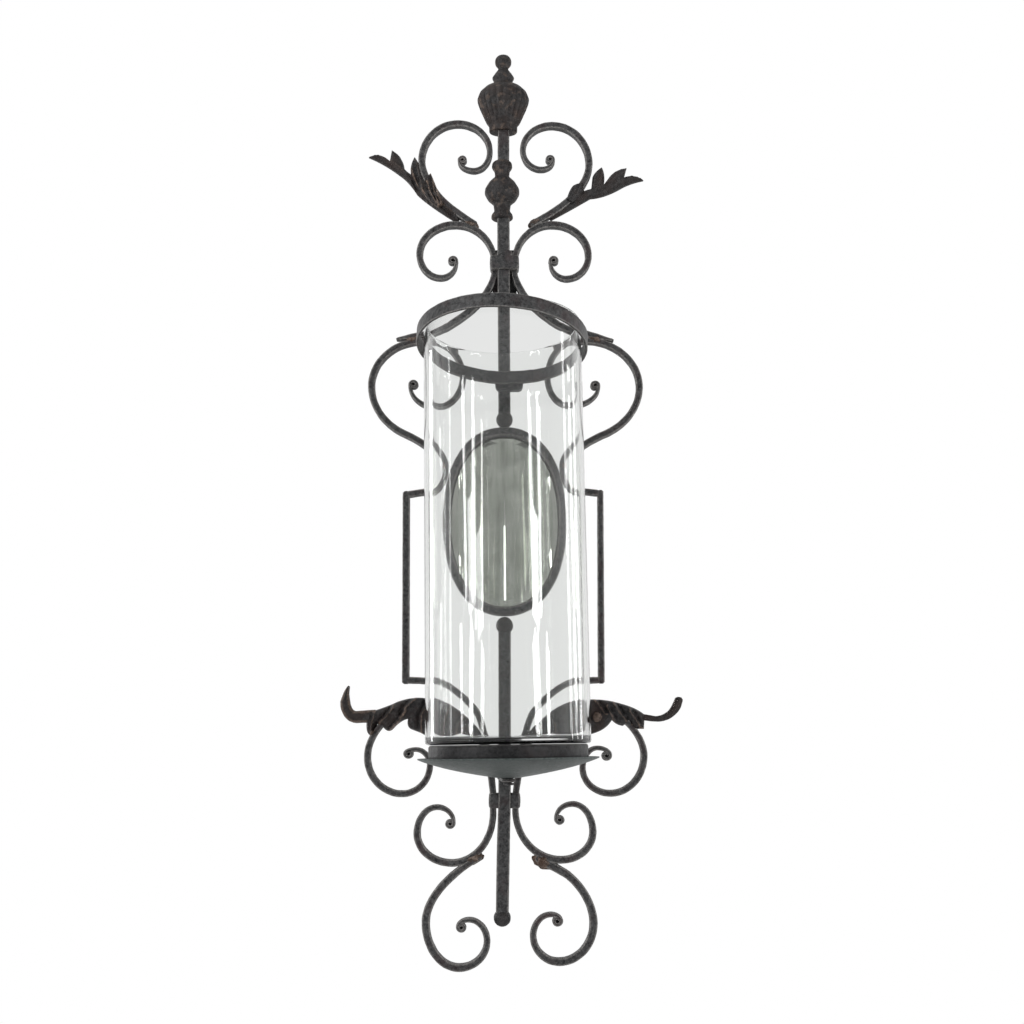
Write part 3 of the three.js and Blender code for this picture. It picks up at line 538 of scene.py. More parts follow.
# %% The scrolls' knots and rolled ends
SCROLLS = {
    "crest_scroll_left": ([[-30, 45, 146, 8], [-69, 76, 130, 8.2], [-90, 121, 90, 8], [-51, 164, 0, 7.6],
                           [-16, 131, -90, 6.6], [-33, 109, 180, 5.4], [-49, 120, 90, 4]], [-45.6, 121, 5.4]),
    "crest_scroll_right": ([[28, 46, 28, 8], [66, 71, 41, 8.2], [92, 117, 90, 8], [52, 162, 180, 7.6],
                            [20, 133, -90, 6.6], [40, 110.5, 0, 5.4], [53, 121, 90, 4]], [49.4, 121.6, 5.5]),
    "shoulder_scroll_left": ([[-114.6, -83, 8, 3], [-98, -80, 9, 6.6], [-58, -66.5, 32, 8.4], [-19, -31, 60, 8],
                              [-10.5, -6, 90, 6.8], [-11.2, 8, 97, 6.8], [-53, 46.5, 180, 7.8],
                              [-91, 13, -90, 7.6], [-68, -14, 0, 6.4], [-51.8, 3, 90, 4]], [-55.6, 5, 5.4]),
    "shoulder_scroll_right": ([[115.6, -84.4, 168, 3], [98, -80.2, 164, 7], [58, -66.5, 148, 8.4],
                               [19, -31, 120, 8], [10.5, -6, 90, 6.8], [11.2, 8, 83, 6.8], [51, 46.5, 0, 7.8],
                               [90, 11, -90, 7.6], [66, -15, 180, 6.4], [49.4, 3, 90, 4]], [53, 5, 5.5]),
    "side_scroll_left": ([[-101, -251.4, 9, 7.4], [-84, -248.8, 8, 7], [-65.6, -222, 90, 7.6],
                          [-104, -186.5, 155, 7.6], [-140, -134, 90, 7.6], [-88, -85.5, 0, 7.2],
                          [-46, -125, -90, 7.4], [-74, -157, 180, 6.2], [-99.4, -133, 90, 4]], [-95.6, -133, 5.3]),
    "side_scroll_right": ([[98, -249.8, 174, 7], [80, -247.8, 174, 6.8], [64.6, -220, 90, 7.6],
                           [105, -186.5, 24, 7.6], [142, -135, 90, 7.6], [86, -84.6, 180, 7.2],
                           [48, -126, -90, 7.4], [72, -155.5, 0, 6.2], [99, -134, 90, 4]], [95.2, -134, 5.3]),
    "lower_scroll_left": ([[-99, -443.4, 0, 7.2], [-76, -444.5, -8, 7], [-31, -473, -48, 7.2],
                           [-13.2, -540, -82, 7.2], [-11.3, -562, -90, 6.6], [-11.3, -575, -90, 6.8],
                           [-52, -623, 180, 7.6], [-86.5, -594, 90, 7.4], [-67, -569, 0, 6],
                           [-50.4, -584, -90, 4]], [-54, -585, 5.3]),
    "lower_scroll_right": ([[97, -443.2, 180, 6.8], [74, -445, -168, 7], [31, -474, -132, 7.2],
                            [13.4, -540, -98, 7.2], [10.9, -562, -90, 6.6], [10.9, -572, -90, 6.8],
                            [56, -620, 0, 7.6], [87.5, -593, 90, 7.4], [68, -566, 180, 6],
                            [51.2, -580, -90, 4]], [54.8, -581, 5.2]),
    "drop_scroll_left": ([[-23, -617, -155, 6], [-52, -636, -139, 8], [-77, -679, -90, 8.4], [-44, -722, 0, 8],
                          [-17, -697, 90, 6.8], [-35, -677, 180, 5.2], [-45.6, -684, -90, 4]], [-42, -684, 5.4]),
    "drop_scroll_right": ([[31, -617.5, -27, 9], [63, -635, -40, 8], [87, -680, -90, 8.4], [53, -716.5, 180, 8],
                           [28, -692, 90, 6.8], [46, -672, 0, 5.2], [55.4, -678.4, -90, 4]], [51.6, -678, 5.6]),
    "base_scroll_left": ([[-112, -478, -145, 6], [-137, -519, -90, 7.2], [-102, -556, 0, 7.2],
                          [-74.5, -528, 90, 6.4], [-89, -512.5, 180, 5], [-99.4, -516.4, -90, 4]],
                         [-95.6, -516.4, 5.1]),
    "base_scroll_right": ([[114, -478, -35, 6], [139.5, -518, -90, 7.2], [105, -555.5, 180, 7.2],
                           [78, -531, 90, 6.4], [93, -511, 0, 5], [105.6, -518, -90, 4]], [101.8, -518.4, 5.2]),
}

# %% Forge the scrolls
WIDTH_SHARE = 0.95  # the hammered corners take a little off the bar's width
EYE_SHADE_PLUG_ROUND = 20
EYE_SHADE_PLUG_PROFILE = [(0.36, 0.2), (0.36, 2.6), (0.2, 3.2), (0, 3.3)]  # share of the roll's radius, mm off the back


def eye_shade_plug(name, roll):
    """A plug sunk below the roll's face that fills its eye: painted shade made of iron, standing in for the shade
    seen through a real open eye.
    """
    x, z, radius = roll
    turn = np.linspace(0, math.tau, EYE_SHADE_PLUG_ROUND, endpoint=False)
    rings = []
    for share, y in EYE_SHADE_PLUG_PROFILE:
        r = max(share * radius, POINTED)
        level = np.full(EYE_SHADE_PLUG_ROUND, FRAME_BACK - y)
        rings.append(np.column_stack([x + r * np.cos(turn), level, z + r * np.sin(turn)]))
    return shell("forged_eye_" + name, rings, FORGED)


for seed, (name, (knots, roll)) in enumerate(SCROLLS.items()):
    knots = [[x, z, heading, width * WIDTH_SHARE] for x, z, heading, width in knots]
    scroll = sweep("forged_" + name, rolled(along(knots), roll), FORGED, seed=seed)
    dress(scroll, "forged_iron", name)
    # The sunk plug is painted shade: it fills the eye so that it reads as dark as the shade through an open eye.
    dress(eye_shade_plug(name, roll), "forged_iron")
    low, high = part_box(name)
    print(name, "is", round((high.z - low.z) / MM), "mm tall")

# %% [markdown]
# The straight lengths are made the same way, from two knots each. The main bar is the same stock all the way
# down, but the balls and the finial break it into pieces.

# %% Straight bars
BALLS = {"ball_above_mirror": (0, -172, 9), "ball_below_mirror": (0, -388.2, 9), "drop_ball": (-2.2, -675, 8.4)}
STRAIGHT = {
    "finial_stem": ([[-1.2, 117, 90, 12.6], [-1, 155, 90, 12.6]], BAR),
    "main_bar_upper": ([[0, -168, 90, 13.2], [-1.2, 53, 90, 13.2]], BAR),
    "main_bar_lower": ([[-2.2, -671, 90, 12.6], [-1.2, -610, 90, 12.8], [0.1, -560, 90, 12.2],
                        [0, -393, 90, 13.2]], BAR),
    "side_upright_left": ([[-101.8, -248, -90, 7.4], [-99.8, -447, -90, 7.4]], STRIP),
    "side_upright_right": ([[99.4, -246.8, -90, 6.2], [97.8, -446.6, -90, 6.8]], STRIP),
}
for seed, (name, (knots, thick)) in enumerate(STRAIGHT.items()):
    bar = sweep("forged_" + name, along(knots), FORGED, thick, corner=1.6, blunt=1.2, dent=0.16, seed=40 + seed)
    dress(bar, "forged_iron", name)
print("straight bars:", len(STRAIGHT))

# %% [markdown]
# ## Cast leaves
# The leaves were cast in sand, so each is one plate with a flat back, rounded edges and folds pressed into its
# front. The outline is filled with small triangles, and every point is raised by how far it is from the edge
# and lowered where a fold runs. Displacing real points gives the folds a shape that holds from every side.


# %% Fill an outline and raise it
EDGE_RUB, CREST_RUB, BOSS_RUB = 0.45, 0.8, 0.75  # how bright a leaf's edges, fold crests and bosses are rubbed
HOLLOW_DARK = 0.6  # how much of that a hollow loses


def outline(start, runs, step=1.2):
    """Points round a leaf: [x, z] runs are straight and [control x, control z, x, z] runs are curved."""
    points = [np.array(start, float)]
    for run in runs + [list(start)]:
        here, there = points[-1], np.array(run[-2:], float)
        bend = np.array(run[:2], float) if len(run) == 4 else (here + there) / 2
        steps = max(1, round((np.linalg.norm(bend - here) + np.linalg.norm(there - bend)) / step))
        for t in np.linspace(0, 1, steps + 1)[1:]:
            points.append((1 - t)**2 * here + 2 * t * (1 - t) * bend + t * t * there)
    return np.array(points[:-1])


def distance_to(points, line):
    """For each point, its distance to a line of points, and which side it is on: positive to the left."""
    best = np.full(len(points), 1e9)
    side = np.zeros(len(points))
    for a, b in zip(line, line[1:]):
        run = b - a
        t = np.clip(((points - a) @ run) / max(run @ run, 1e-9), 0, 1)
        off = points - (a + t[:, None] * run)
        d = np.linalg.norm(off, axis=1)
        closer = d < best
        best[closer] = d[closer]
        side[closer] = np.sign(run[0] * off[:, 1] - run[1] * off[:, 0])[closer]
    return best, side


def inside(points, loop):
    """Which points lie within the loop."""
    found = np.zeros(len(points), bool)
    for (x0, z0), (x1, z1) in zip(loop, np.roll(loop, -1, axis=0)):
        crosses = (z0 > points[:, 1]) != (z1 > points[:, 1])
        with np.errstate(divide="ignore", invalid="ignore"):
            found ^= crosses & (points[:, 0] < (x1 - x0) * (points[:, 1] - z0) / (z1 - z0) + x0)
    return found


def relief(name, loop, material, depth, folds=(), bosses=(), back=FRAME_BACK - 0.7, edge=0.4, round_mm=4.5,
           seed=0, grid=1.5, worn=1.0):
    """A casting with a flat back. Folds are [points, width, depth]; bosses are [x, z, radius, height]."""
    area = 0.5 * sum(a[0] * b[1] - b[0] * a[1] for a, b in zip(loop, np.roll(loop, -1, axis=0)))
    loop = loop if area > 0 else loop[::-1]
    closed = np.vstack([loop, loop[:1]])
    xs, zs = np.meshgrid(np.arange(loop[:, 0].min(), loop[:, 0].max(), grid),
                         np.arange(loop[:, 1].min(), loop[:, 1].max(), grid))
    xs = xs + (np.arange(len(xs)) % 2)[:, None] * grid / 2
    inner = np.column_stack([xs.ravel(), zs.ravel()])
    inner = inner[inside(inner, loop)]
    inner = inner[distance_to(inner, closed)[0] > grid * 0.55]
    flat = [Vector(p) for p in np.vstack([loop, inner])]
    ring = [(i, (i + 1) % len(loop)) for i in range(len(loop))]
    verts, _, faces, *_ = geometry.delaunay_2d_cdt(flat, ring, [], 1, 1e-5)
    plan = np.array([tuple(v) for v in verts])
    away, _ = distance_to(plan, closed)
    rise = np.sqrt(1 - (1 - np.clip(away / round_mm, 0, 1))**2)
    height = depth * (edge + (1 - edge) * rise)
    rub = EDGE_RUB * worn * np.exp(-away / 1.5)
    for path, width, deep in folds:
        gap, side = distance_to(plan, np.array(path, float))
        height -= deep * np.exp(-(gap / width)**2)
        crest = np.exp(-((gap - 1.7 * width) / width)**2) * (side > 0)
        height += 0.55 * deep * crest
        rub += CREST_RUB * worn * crest - HOLLOW_DARK * np.exp(-(gap / width)**2)
    for x, z, radius, tall in bosses:
        gap = np.linalg.norm(plan - (x, z), axis=1) / radius
        height += tall * np.sqrt(np.clip(1 - gap**2, 0, 1)) - 0.5 * np.exp(-((gap - 1.12) / 0.14)**2)
        rub += BOSS_RUB * (gap < 0.9)
    height += [0.25 * noise.noise(Vector((x / 5, z / 5, seed))) for x, z in plan]
    height = np.clip(height, 0.8, None)
    n = len(plan)
    points = [(x, back - h, z) for (x, z), h in zip(plan, height)] + [(x, back, z) for x, z in plan]
    tris = [tuple(f) for f in faces]
    skin_faces = tris + [tuple(i + n for i in f[::-1]) for f in tris]
    border = {}
    for f in tris:
        for a, b in zip(f, f[1:] + f[:1]):
            if (b, a) in border:
                del border[(b, a)]
            else:
                border[(a, b)] = True
    skin_faces += [(a, a + n, b + n, b) for a, b in border]
    obj = build(name, np.array(points) * MM, skin_faces, material, sharp=50)
    set_rub(obj, np.concatenate([rub, np.zeros(n)]))
    return obj


# %% Crest leaves
CREST_LEAF = {
    "crest_leaf_left": dict(
        start=(-50, 49),
        runs=[[-84, 71, -95, 83], [-104, 98, -114, 105], [-130, 118, -148, 126], [-136, 132, -125, 121],
              [-123, 134], [-110, 126, -109, 113], [-102, 106], [-103, 118, -98, 126], [-92, 118, -90, 106],
              [-84, 97], [-69, 76], [-48, 57]],
        folds=[[[(-98, 117), (-95, 100), (-90, 82), (-80, 72)], 1.5, 2.0],
               [[(-104, 110), (-99, 96), (-92, 80)], 1.5, 1.8],
               [[(-112, 124), (-106, 108), (-98, 92), (-86, 75)], 1.6, 2.2],
               [[(-136, 125), (-118, 112), (-104, 98)], 1.6, 1.6],
               [[(-84, 78), (-70, 68), (-56, 57)], 1.4, 2.4]]),
    "crest_leaf_right": dict(
        start=(49, 52),
        runs=[[72, 65, 93, 78], [108, 79, 125, 89], [136, 96, 151, 99], [141, 107, 130, 102], [133, 113],
              [119, 111, 113, 101], [108, 94], [110, 104, 106, 114], [98, 109, 95.6, 102], [94.2, 89],
              [78, 84], [66, 71], [50, 58]],
        folds=[[[(128, 104), (112, 92), (98, 83)], 1.8, 1.3], [[(105, 108), (102, 95), (97, 86)], 1.6, 1.3],
               [[(140, 100), (122, 92), (106, 83)], 1.6, 1.1], [[(60, 62), (76, 73), (88, 78)], 1.6, 1.2]]),
}
LEAFLET = {
    "crest_leaflet_left": dict(
        start=(-80, 104.5),
        runs=[[-75, 92], [-71, 80, -64, 69], [-71, 65], [-80, 70, -87, 80], [-88, 92], [-85, 100]],
        folds=[[[(-80, 101), (-78, 84), (-73, 68)], 1.1, 2.0], [[(-76, 92), (-74, 80), (-70, 70)], 1.0, 1.6],
               [[(-85, 92), (-82, 80), (-76, 70)], 1.1, 1.8]]),
    "crest_leaflet_right": dict(
        start=(67, 74), runs=[[70, 86, 75, 91], [84, 94], [86, 84], [80, 74, 72, 70]],
        folds=[[[(82, 91), (78, 82), (72, 74)], 1.4, 1.2], [[(76, 90), (74, 82), (70, 76)], 1.3, 1.0]]),
}
LEAF_DEPTH = 7
LEAFLET_DEPTH = LEAF_DEPTH + 3
LEAF_WORN = {"crest_leaf_left": 0.8, "crest_leaf_right": 0.3,
             "crest_leaflet_left": 1.5, "crest_leaflet_right": 0.3}
for seed, (name, leaf) in enumerate(CREST_LEAF.items()):
    loop = outline(leaf["start"], leaf["runs"])
    casting = relief("cast_" + name, loop, CAST, LEAF_DEPTH, leaf["folds"], seed=seed, worn=LEAF_WORN[name])
    dress(casting, "cast_iron", name)
for seed, (name, leaf) in enumerate(LEAFLET.items()):
    loop = outline(leaf["start"], leaf["runs"])
    casting = relief("cast_" + name, loop, CAST, LEAFLET_DEPTH, leaf["folds"], back=FRAME_BACK - 1.1, edge=0.7,
                     seed=5 + seed, worn=LEAF_WORN[name])
    dress(casting, "cast_iron")
print("crest leaves:", len(CREST_LEAF) + len(LEAFLET))

# %% [markdown]
# The base leaves are longer: they rise out of the bottom of the frame, droop in lobes, and end in a horn that
# curls up. The right one has a round boss where its lobes meet. Each horn is a swept taper, like the scrolls.

# %% Base leaves and horns
BASE_DEPTH = 11
BASE_LEAF = {
    "base_leaf_left": dict(
        start=(-138, -476),
        runs=[[-118, -470, -108, -465], [-94, -460, -83, -461], [-60, -464, -44, -477], [-30, -488, -20, -500],
              [-20, -512], [-32, -504, -47, -497], [-58, -506, -70, -503.5], [-84, -496], [-92, -493],
              [-99, -491, -97, -482], [-104, -483, -112, -492], [-117, -497, -122, -490], [-128, -487],
              [-131, -499], [-140, -500, -138.5, -484]],
        folds=[[[(-92, -461), (-102, -470), (-105, -477)], 1.5, 2.6],
               [[(-114, -470), (-121, -479), (-127, -484), (-131, -492)], 1.5, 2.6],
               [[(-132, -475), (-135, -486), (-135.5, -496)], 1.3, 2.2],
               [[(-101, -474), (-110, -485), (-118, -493)], 1.4, 2.4],
               [[(-78, -462), (-86, -478), (-86, -494)], 1.7, 2.4],
               [[(-60, -466), (-68, -484), (-70, -501)], 1.7, 2.2],
               [[(-44, -478), (-52, -488), (-54, -500)], 1.5, 2.0]],
        bosses=[]),
    "base_leaf_right": dict(
        start=(141, -478),
        runs=[[140, -492], [130, -492], [124, -485], [119, -489], [112, -488, 108, -483], [103, -492, 91, -496],
              [82, -499, 72, -502], [60, -504, 48, -498], [32, -505, 20, -512], [20, -500], [31, -488, 46, -477],
              [62, -464, 88, -462.5], [104, -462.5, 118, -467], [133, -471, 141, -478]],
        folds=[[[(102, -475), (98, -469), (93, -463)], 1.4, 2.4],
               [[(126, -485), (118, -475), (112, -466)], 1.5, 2.8],
               [[(138, -489), (134, -482), (128, -474)], 1.5, 2.6],
               [[(114, -487), (110, -478), (105, -470)], 1.4, 1.8],
               [[(76, -500), (78, -482), (74, -465)], 1.7, 2.2],
               [[(56, -500), (56, -488), (48, -476)], 1.5, 2.0]],
        bosses=[[92.6, -480.5, 5.6, 3.6]]),
}
HORNS = {
    "left": [[-128, -479, 180, 12.4], [-149, -480.2, 179, 12], [-160.3, -465, 90, 10], [-157, -449, 66, 1.4]],
    "right": [[128, -478, -12, 6.4], [152, -482, 0, 5.4], [173.6, -468.5, 66, 8.8], [176.2, -460.4, 80, 7.4]],
}
HORN_WORN = {"left": 0.85, "right": 0.4}
HORN_DEPTH = 9
for seed, (name, leaf) in enumerate(BASE_LEAF.items()):
    loop = outline(leaf["start"], leaf["runs"])
    casting = relief("cast_" + name, loop, CAST, BASE_DEPTH, leaf["folds"], leaf["bosses"], round_mm=6,
                     seed=9 + seed)
    dress(casting, "cast_iron", name)
for seed, (side, knots) in enumerate(HORNS.items()):
    horn = sweep("cast_horn_" + side, along(knots), CAST, HORN_DEPTH, corner=3.2, blunt=1.5, dent=0.3,
                 seed=20 + seed, worn=HORN_WORN[side])
    dress(horn, "cast_iron")
print("base leaves:", len(BASE_LEAF), "horns:", len(HORNS))

# %% [markdown]
# ## Turned castings
# The finial's urn and baluster and the balls were cast from turned patterns. A profile is spun about the
# bar's axis, flattened a little front to back, and cut flat behind. The urn's lobes, called gadroons, are a
# ripple in the radius that fades out above and below.

# %% Spin a profile
BAR_AXIS = FRAME_BACK - BAR / 2


def smooth_profile(profile, step=1.0, passes=2):
    """Even points along a profile of [radius, height], with its corners softened."""
    profile = np.array(profile, float)
    gone = np.concatenate([[0], np.cumsum(np.linalg.norm(np.diff(profile, axis=0), axis=1))])
    even = np.linspace(0, gone[-1], max(4, round(gone[-1] / step)))
    out = np.column_stack([np.interp(even, gone, profile[:, k]) for k in (0, 1)])
    for _ in range(passes):
        out[1:-1] = out[:-2] / 4 + out[1:-1] / 2 + out[2:] / 4
    return out


def spin(profile, x=0, y=BAR_AXIS, squash=1.0, around=64, lobes=None, back=None):
    """Rings of points from a profile. lobes are (count, low, high, depth)."""
    turn = np.linspace(0, math.tau, around, endpoint=False)
    rings = []
    for radius, z in profile:
        r = np.full(around, max(radius, POINTED))
        if lobes:
            count, low, high, deep = lobes
            fade = np.clip(min(z - low, high - z) / 8, 0, 1)
            r = r - deep * fade * (1 - np.abs(np.cos(turn * count / 2)))**1.5
        ring = np.column_stack([x + r * np.cos(turn), y + squash * r * np.sin(turn), np.full(around, z)])
        if back is not None:
            ring[:, 1] = np.minimum(ring[:, 1], back)
        rings.append(ring)
    return np.array(rings)


URN = [[0, 153], [15.2, 153], [15.4, 160.5], [18.4, 164], [25.8, 181], [28, 188], [28.4, 193], [25.6, 200],
       [19, 206.5], [10.5, 211], [10.2, 213.6], [12.4, 217.4], [9, 223], [5.0, 228.4], [5.6, 229.6], [8.6, 233],
       [9.1, 237], [8.4, 241], [5.6, 244.4], [0, 246]]
BALUSTER = [[0, 51], [8.6, 51], [11.8, 52.8], [11.4, 57], [8.4, 61], [9.4, 69], [15.4, 74.5], [18.8, 81],
            [18.4, 87], [14, 94.5], [7.6, 101], [8.2, 107], [11.2, 111.5], [10.6, 117], [8, 119], [0, 119]]
TURNED_BACK = FRAME_BACK + 2  # the castings are cut flat a little behind the bar
TURNED_ROUND, BALL_ROUND = 88, 40
CASTINGS = {  # profile, place from the middle, how flat it is front to back, and its lobes
    "finial_urn": (URN, -1.4, 0.6, (22, 162, 203, 1.5)),
    "finial_baluster": (BALUSTER, -2.6, 0.76, None),
}
for seed, (name, (profile, x, squash, lobes)) in enumerate(CASTINGS.items()):
    rings = spin(smooth_profile(profile), x, BAR_AXIS, squash, TURNED_ROUND, lobes, TURNED_BACK)
    rings = hammered(rings, 0.12, 5, 60 + seed)
    rings[:, :, 1] = np.minimum(rings[:, :, 1], TURNED_BACK)
    casting = shell("cast_" + name, rings, CAST)
    set_rub(casting, [0.36 + 0.5 * noise.noise(Vector(p) / 5) for p in rings.reshape(-1, 3)])
    dress(casting, "cast_iron", name)
for seed, (name, (x, z, radius)) in enumerate(BALLS.items()):
    arc_points = [[radius * math.sin(a), z - radius * math.cos(a)] for a in np.linspace(0, math.pi, 25)]
    rings = hammered(spin(arc_points, x, BAR_AXIS, 1.0, BALL_ROUND), 0.22, 5, 70 + seed)
    rings[:, :, 2] = np.clip(rings[:, :, 2], z - radius, z + radius)
    dress(shell("cast_" + name, rings, CAST), "cast_iron", name)
print("turned castings:", len(CASTINGS) + len(BALLS))

# %% [markdown]
# ## Collars
# A collar is a flat strip wrapped hot round a bundle of bars, so it shrinks tight as it cools. Its edges stay
# a little soft and its face a little proud in the middle.


# %% Wrap the collars
def collar(name, half, front, back, low, high, swell=0.5, seed=0, corner=2.4):
    """A wrapped band with rounded corners, soft edges over the first and last seventh, and a swollen face."""
    middle = (front + back) / 2
    rings, rub = [], []
    for t in np.linspace(0, 1, 14):
        soft = math.sqrt(1 - (1 - min(1, min(t, 1 - t) * 7))**2)
        grow = -1.0 * (1 - soft) + swell * math.sin(math.pi * t) - swell
        points, edge = section(2 * (half + grow), (back - front) + 2 * grow, corner, flats=8)
        rings.append([(u, middle + v, low + (high - low) * t) for u, v in points])
        rub.append(np.maximum(edge * 0.8, 1 - soft))
    obj = shell(name, hammered(np.array(rings), 0.2, BLOW, seed), FORGED)
    set_rub(obj, np.concatenate(rub))
    return obj


COLLARS = {
    "upper_collar": dict(half=15.6, front=-21, back=-4.2, low=-7, high=8),
    "lower_collar": dict(half=15.7, front=-16.2, back=-4, low=-570, high=-555),
}
for seed, (name, sizes) in enumerate(COLLARS.items()):
    dress(collar("wrapped_" + name, seed=80 + seed, **sizes), "forged_iron", name)
step = collar("wrapped_upper_step", half=8.5, front=-20, back=FRAME_BACK, low=7, high=14, seed=83)
dress(step, "forged_iron")
print("collars:", len(COLLARS), "and a step above the upper one")

# %% [markdown]
# ## The mirror
# The mirror stands in an oval ring forged from wide flat bar, with a step cut round its back for the glass. The
# glass has a ground bevel, so a thin bright line runs round inside the ring. Behind it lie a thin board and
# four clips, which nobody sees once the sconce hangs.

# %% The oval ring and the bevelled glass
OVAL = {"z": -279.3, "half_width": 69, "half_height": 99, "fullness": 2.14}
OVAL_STEPS = 180


def oval_rings(profile):
    """Rings across an oval from a profile of [inset from the outline, distance from the wall]."""
    rings = []
    for t in np.linspace(0, math.tau, OVAL_STEPS, endpoint=False):
        c, s = math.cos(t), math.sin(t)
        c = math.copysign(abs(c) ** (2 / OVAL["fullness"]), c)
        s = math.copysign(abs(s) ** (2 / OVAL["fullness"]), s)
        rings.append([((OVAL["half_width"] - inset) * c, y, OVAL["z"] + (OVAL["half_height"] - inset) * s)
                      for inset, y in profile])
    return np.array(rings)


RING_PROFILE = [(0.5, -6), (0.1, -6.5), (0, -8), (0, -13.6), (0.2, -14.2), (0.6, -14.6), (1.4, -14.9), (3, -15),
                (5, -14.7), (7.2, -15), (8.6, -14.8), (9.4, -14.2), (9.6, -13), (9.6, -11.2), (7, -11.2),
                (4.1, -11.2), (4, -9), (4, -6)]
RING_RUB = [0, 0.3, 0.2, 0.3, 0.8, 0.9, 0.5, 0.1, 0.2, 0.6, 0.9, 0.7, 0.3, 0, 0, 0, 0, 0]
RING_FRONT = -15
RING_FACE = 9.6  # how wide the ring looks from in front
rings = hammered(oval_rings(RING_PROFILE), 0.22, 7, 90)
rings[:, :, 1] = np.clip(rings[:, :, 1], RING_FRONT, FRAME_BACK)
ring = shell("forged_mirror_ring", rings, FORGED, closed=True)
set_rub(ring, np.tile(RING_RUB, OVAL_STEPS))
dress(ring, "forged_iron", "mirror_ring")

BEVEL = 16  # inset from the ring's outline
FACE_Y = -10.9
GLASS_PROFILE = [(4.4, -8.2), (4.3, -9.6), (BEVEL, FACE_Y), (BEVEL + 1, FACE_Y), (40, FACE_Y), (60, FACE_Y)]
mirror = shell("silvered_mirror", oval_rings(GLASS_PROFILE).transpose(1, 0, 2), MIRROR, sharp=3)
dress(mirror, "silvered_glass", "mirror_glass")
opening = [round(2 * (OVAL[half] - RING_FACE), 1) for half in ("half_width", "half_height")]
print("mirror opening", opening, "mm")

# %% [markdown]
# ## The hoop
# A flat strip is bent into a hoop, lapped over itself at the back and riveted through a spacer to the main bar.
# It was pulled up at the front and to one side when it was fitted, so it's turned about its middle to match.

# %% The hoop, its lap, the spacer and the rivet
HOOP = {"x": -2.4, "y": GLASS_Y, "z": -122.6, "outer": 82.8, "thick": 3, "tall": 14}
HOOP_PITCH, HOOP_ROLL = math.radians(-6.3), math.radians(2.4)
HOOP_STEPS = 240
LAP_FROM, LAP_TO = math.radians(66), math.radians(84)  # round from the right, seen from above
LAP_STEP = 1.2  # mm that the lapped end stands in
HOOP_TURN = np.array(Matrix.Rotation(HOOP_ROLL, 3, "Y") @ Matrix.Rotation(HOOP_PITCH, 3, "X"))
HOOP_MIDDLE = np.array([HOOP["x"], HOOP["y"], HOOP["z"]])

points, edge = section(HOOP["thick"], HOOP["tall"], 1.1, flats=6)
middle = HOOP["outer"] - HOOP["thick"] / 2
rings = []
for t in np.linspace(0, math.tau, HOOP_STEPS, endpoint=False):
    lap = LAP_STEP if LAP_FROM < t < LAP_TO else 0
    radii = [middle + u - lap * (u < 0) for u in points[:, 0]]
    rings.append([(r * math.cos(t), r * math.sin(t), v) for r, v in zip(radii, points[:, 1])])
rings = hammered(np.array(rings), 0.3, 9, 95) @ HOOP_TURN.T + HOOP_MIDDLE
hoop = shell("forged_glass_hoop", rings, FORGED, closed=True)
set_rub(hoop, np.tile(edge, HOOP_STEPS))
dress(hoop, "forged_iron", "glass_hoop")

BAR_FRONT = FRAME_BACK - BAR
SEAT = 0.3  # mm kept free between pieces that are screwed or riveted together
SPACER = {"left": -10, "right": 20, "low": -144, "high": -126, "back": BAR_FRONT - SEAT}
FOOT_ROUND, TOP_ROUND = 4.5, 0.8  # mm taken off each side at the spacer's foot and at its top
rings = []
for t in np.linspace(0, 1, 16):
    z = SPACER["low"] + (SPACER["high"] - SPACER["low"]) * t
    foot = 1 - math.sqrt(1 - (1 - min(1, t * 2.6))**2)
    top = 1 - math.sqrt(1 - max(0, 10 * t - 9)**2)
    narrow = FOOT_ROUND * foot + TOP_ROUND * top
    xs = np.linspace(SPACER["left"] + narrow, SPACER["right"] - narrow, 14)
    hollow = np.sqrt((HOOP["outer"] + SEAT)**2 - (xs - HOOP["x"])**2) + HOOP["y"]
    soft = np.minimum(1, np.minimum(xs - xs[0], xs[-1] - xs))
    front = [(x, y + 1.0 * (1 - s), z) for x, y, s in zip(xs, hollow, soft)]
    back = [(x, SPACER["back"], z) for x in xs[::-1]]
    rings.append(front + back)
spacer = shell("forged_hoop_spacer", rings, FORGED, sharp=30)
set_rub(spacer, 0.25)
dress(spacer, "forged_iron", "hoop_spacer")

RIVET_Z = -133
RIVET_PROFILE = [(0, -27.7), (1.9, -27.7), (2.5, -27.2), (2.5, -6.2), (2.6, -5.7), (4.2, -5.7), (4.6, -5.3),
                 (4.3, -4.6), (3.4, -3.9), (2.0, -3.6), (0, -3.5)]
turns = np.linspace(0, math.tau, 28, endpoint=False)
rings = []
for radius, y in RIVET_PROFILE:
    r = max(radius, POINTED)
    rings.append([(r * math.cos(a), y, RIVET_Z + r * math.sin(a)) for a in turns])
rivet = shell("forged_hoop_rivet", rings, FORGED)
set_rub(rivet, 0.4)
dress(rivet, "forged_iron", "hoop_rivet")
print("hoop inside", 2 * (HOOP["outer"] - HOOP["thick"]), "mm")

# %% [markdown]
# ## Pan, drum, screw and arm
# The pan was spun from sheet over a form, and the drum that the glass stands on is a shallow cup turned upside
# down. One screw from below pulls the arm, the pan and the drum together. They lean a little together, so
# each is spun upright and then placed on the leaning stand.

# %% Pieces on the leaning stand
STAND = np.array([3.4, GLASS_Y, -508])
DISC_ROUND = 144
PAN_RADIUS = 83
LEAN = np.array(Matrix.Rotation(math.radians(-0.8), 3, "Y"))


def on_stand(profile, around):
    """Rings spun about the stand's leaning axis."""
    return spin(profile, 0, 0, 1.0, around) @ LEAN.T + STAND


def curve(p0, p1, p2, steps):
    """Points along a quadratic curve."""
    return [[(1 - t)**2 * a + 2 * t * (1 - t) * b + t * t * c for a, b, c in zip(p0, p1, p2)]
            for t in np.linspace(0, 1, steps)]


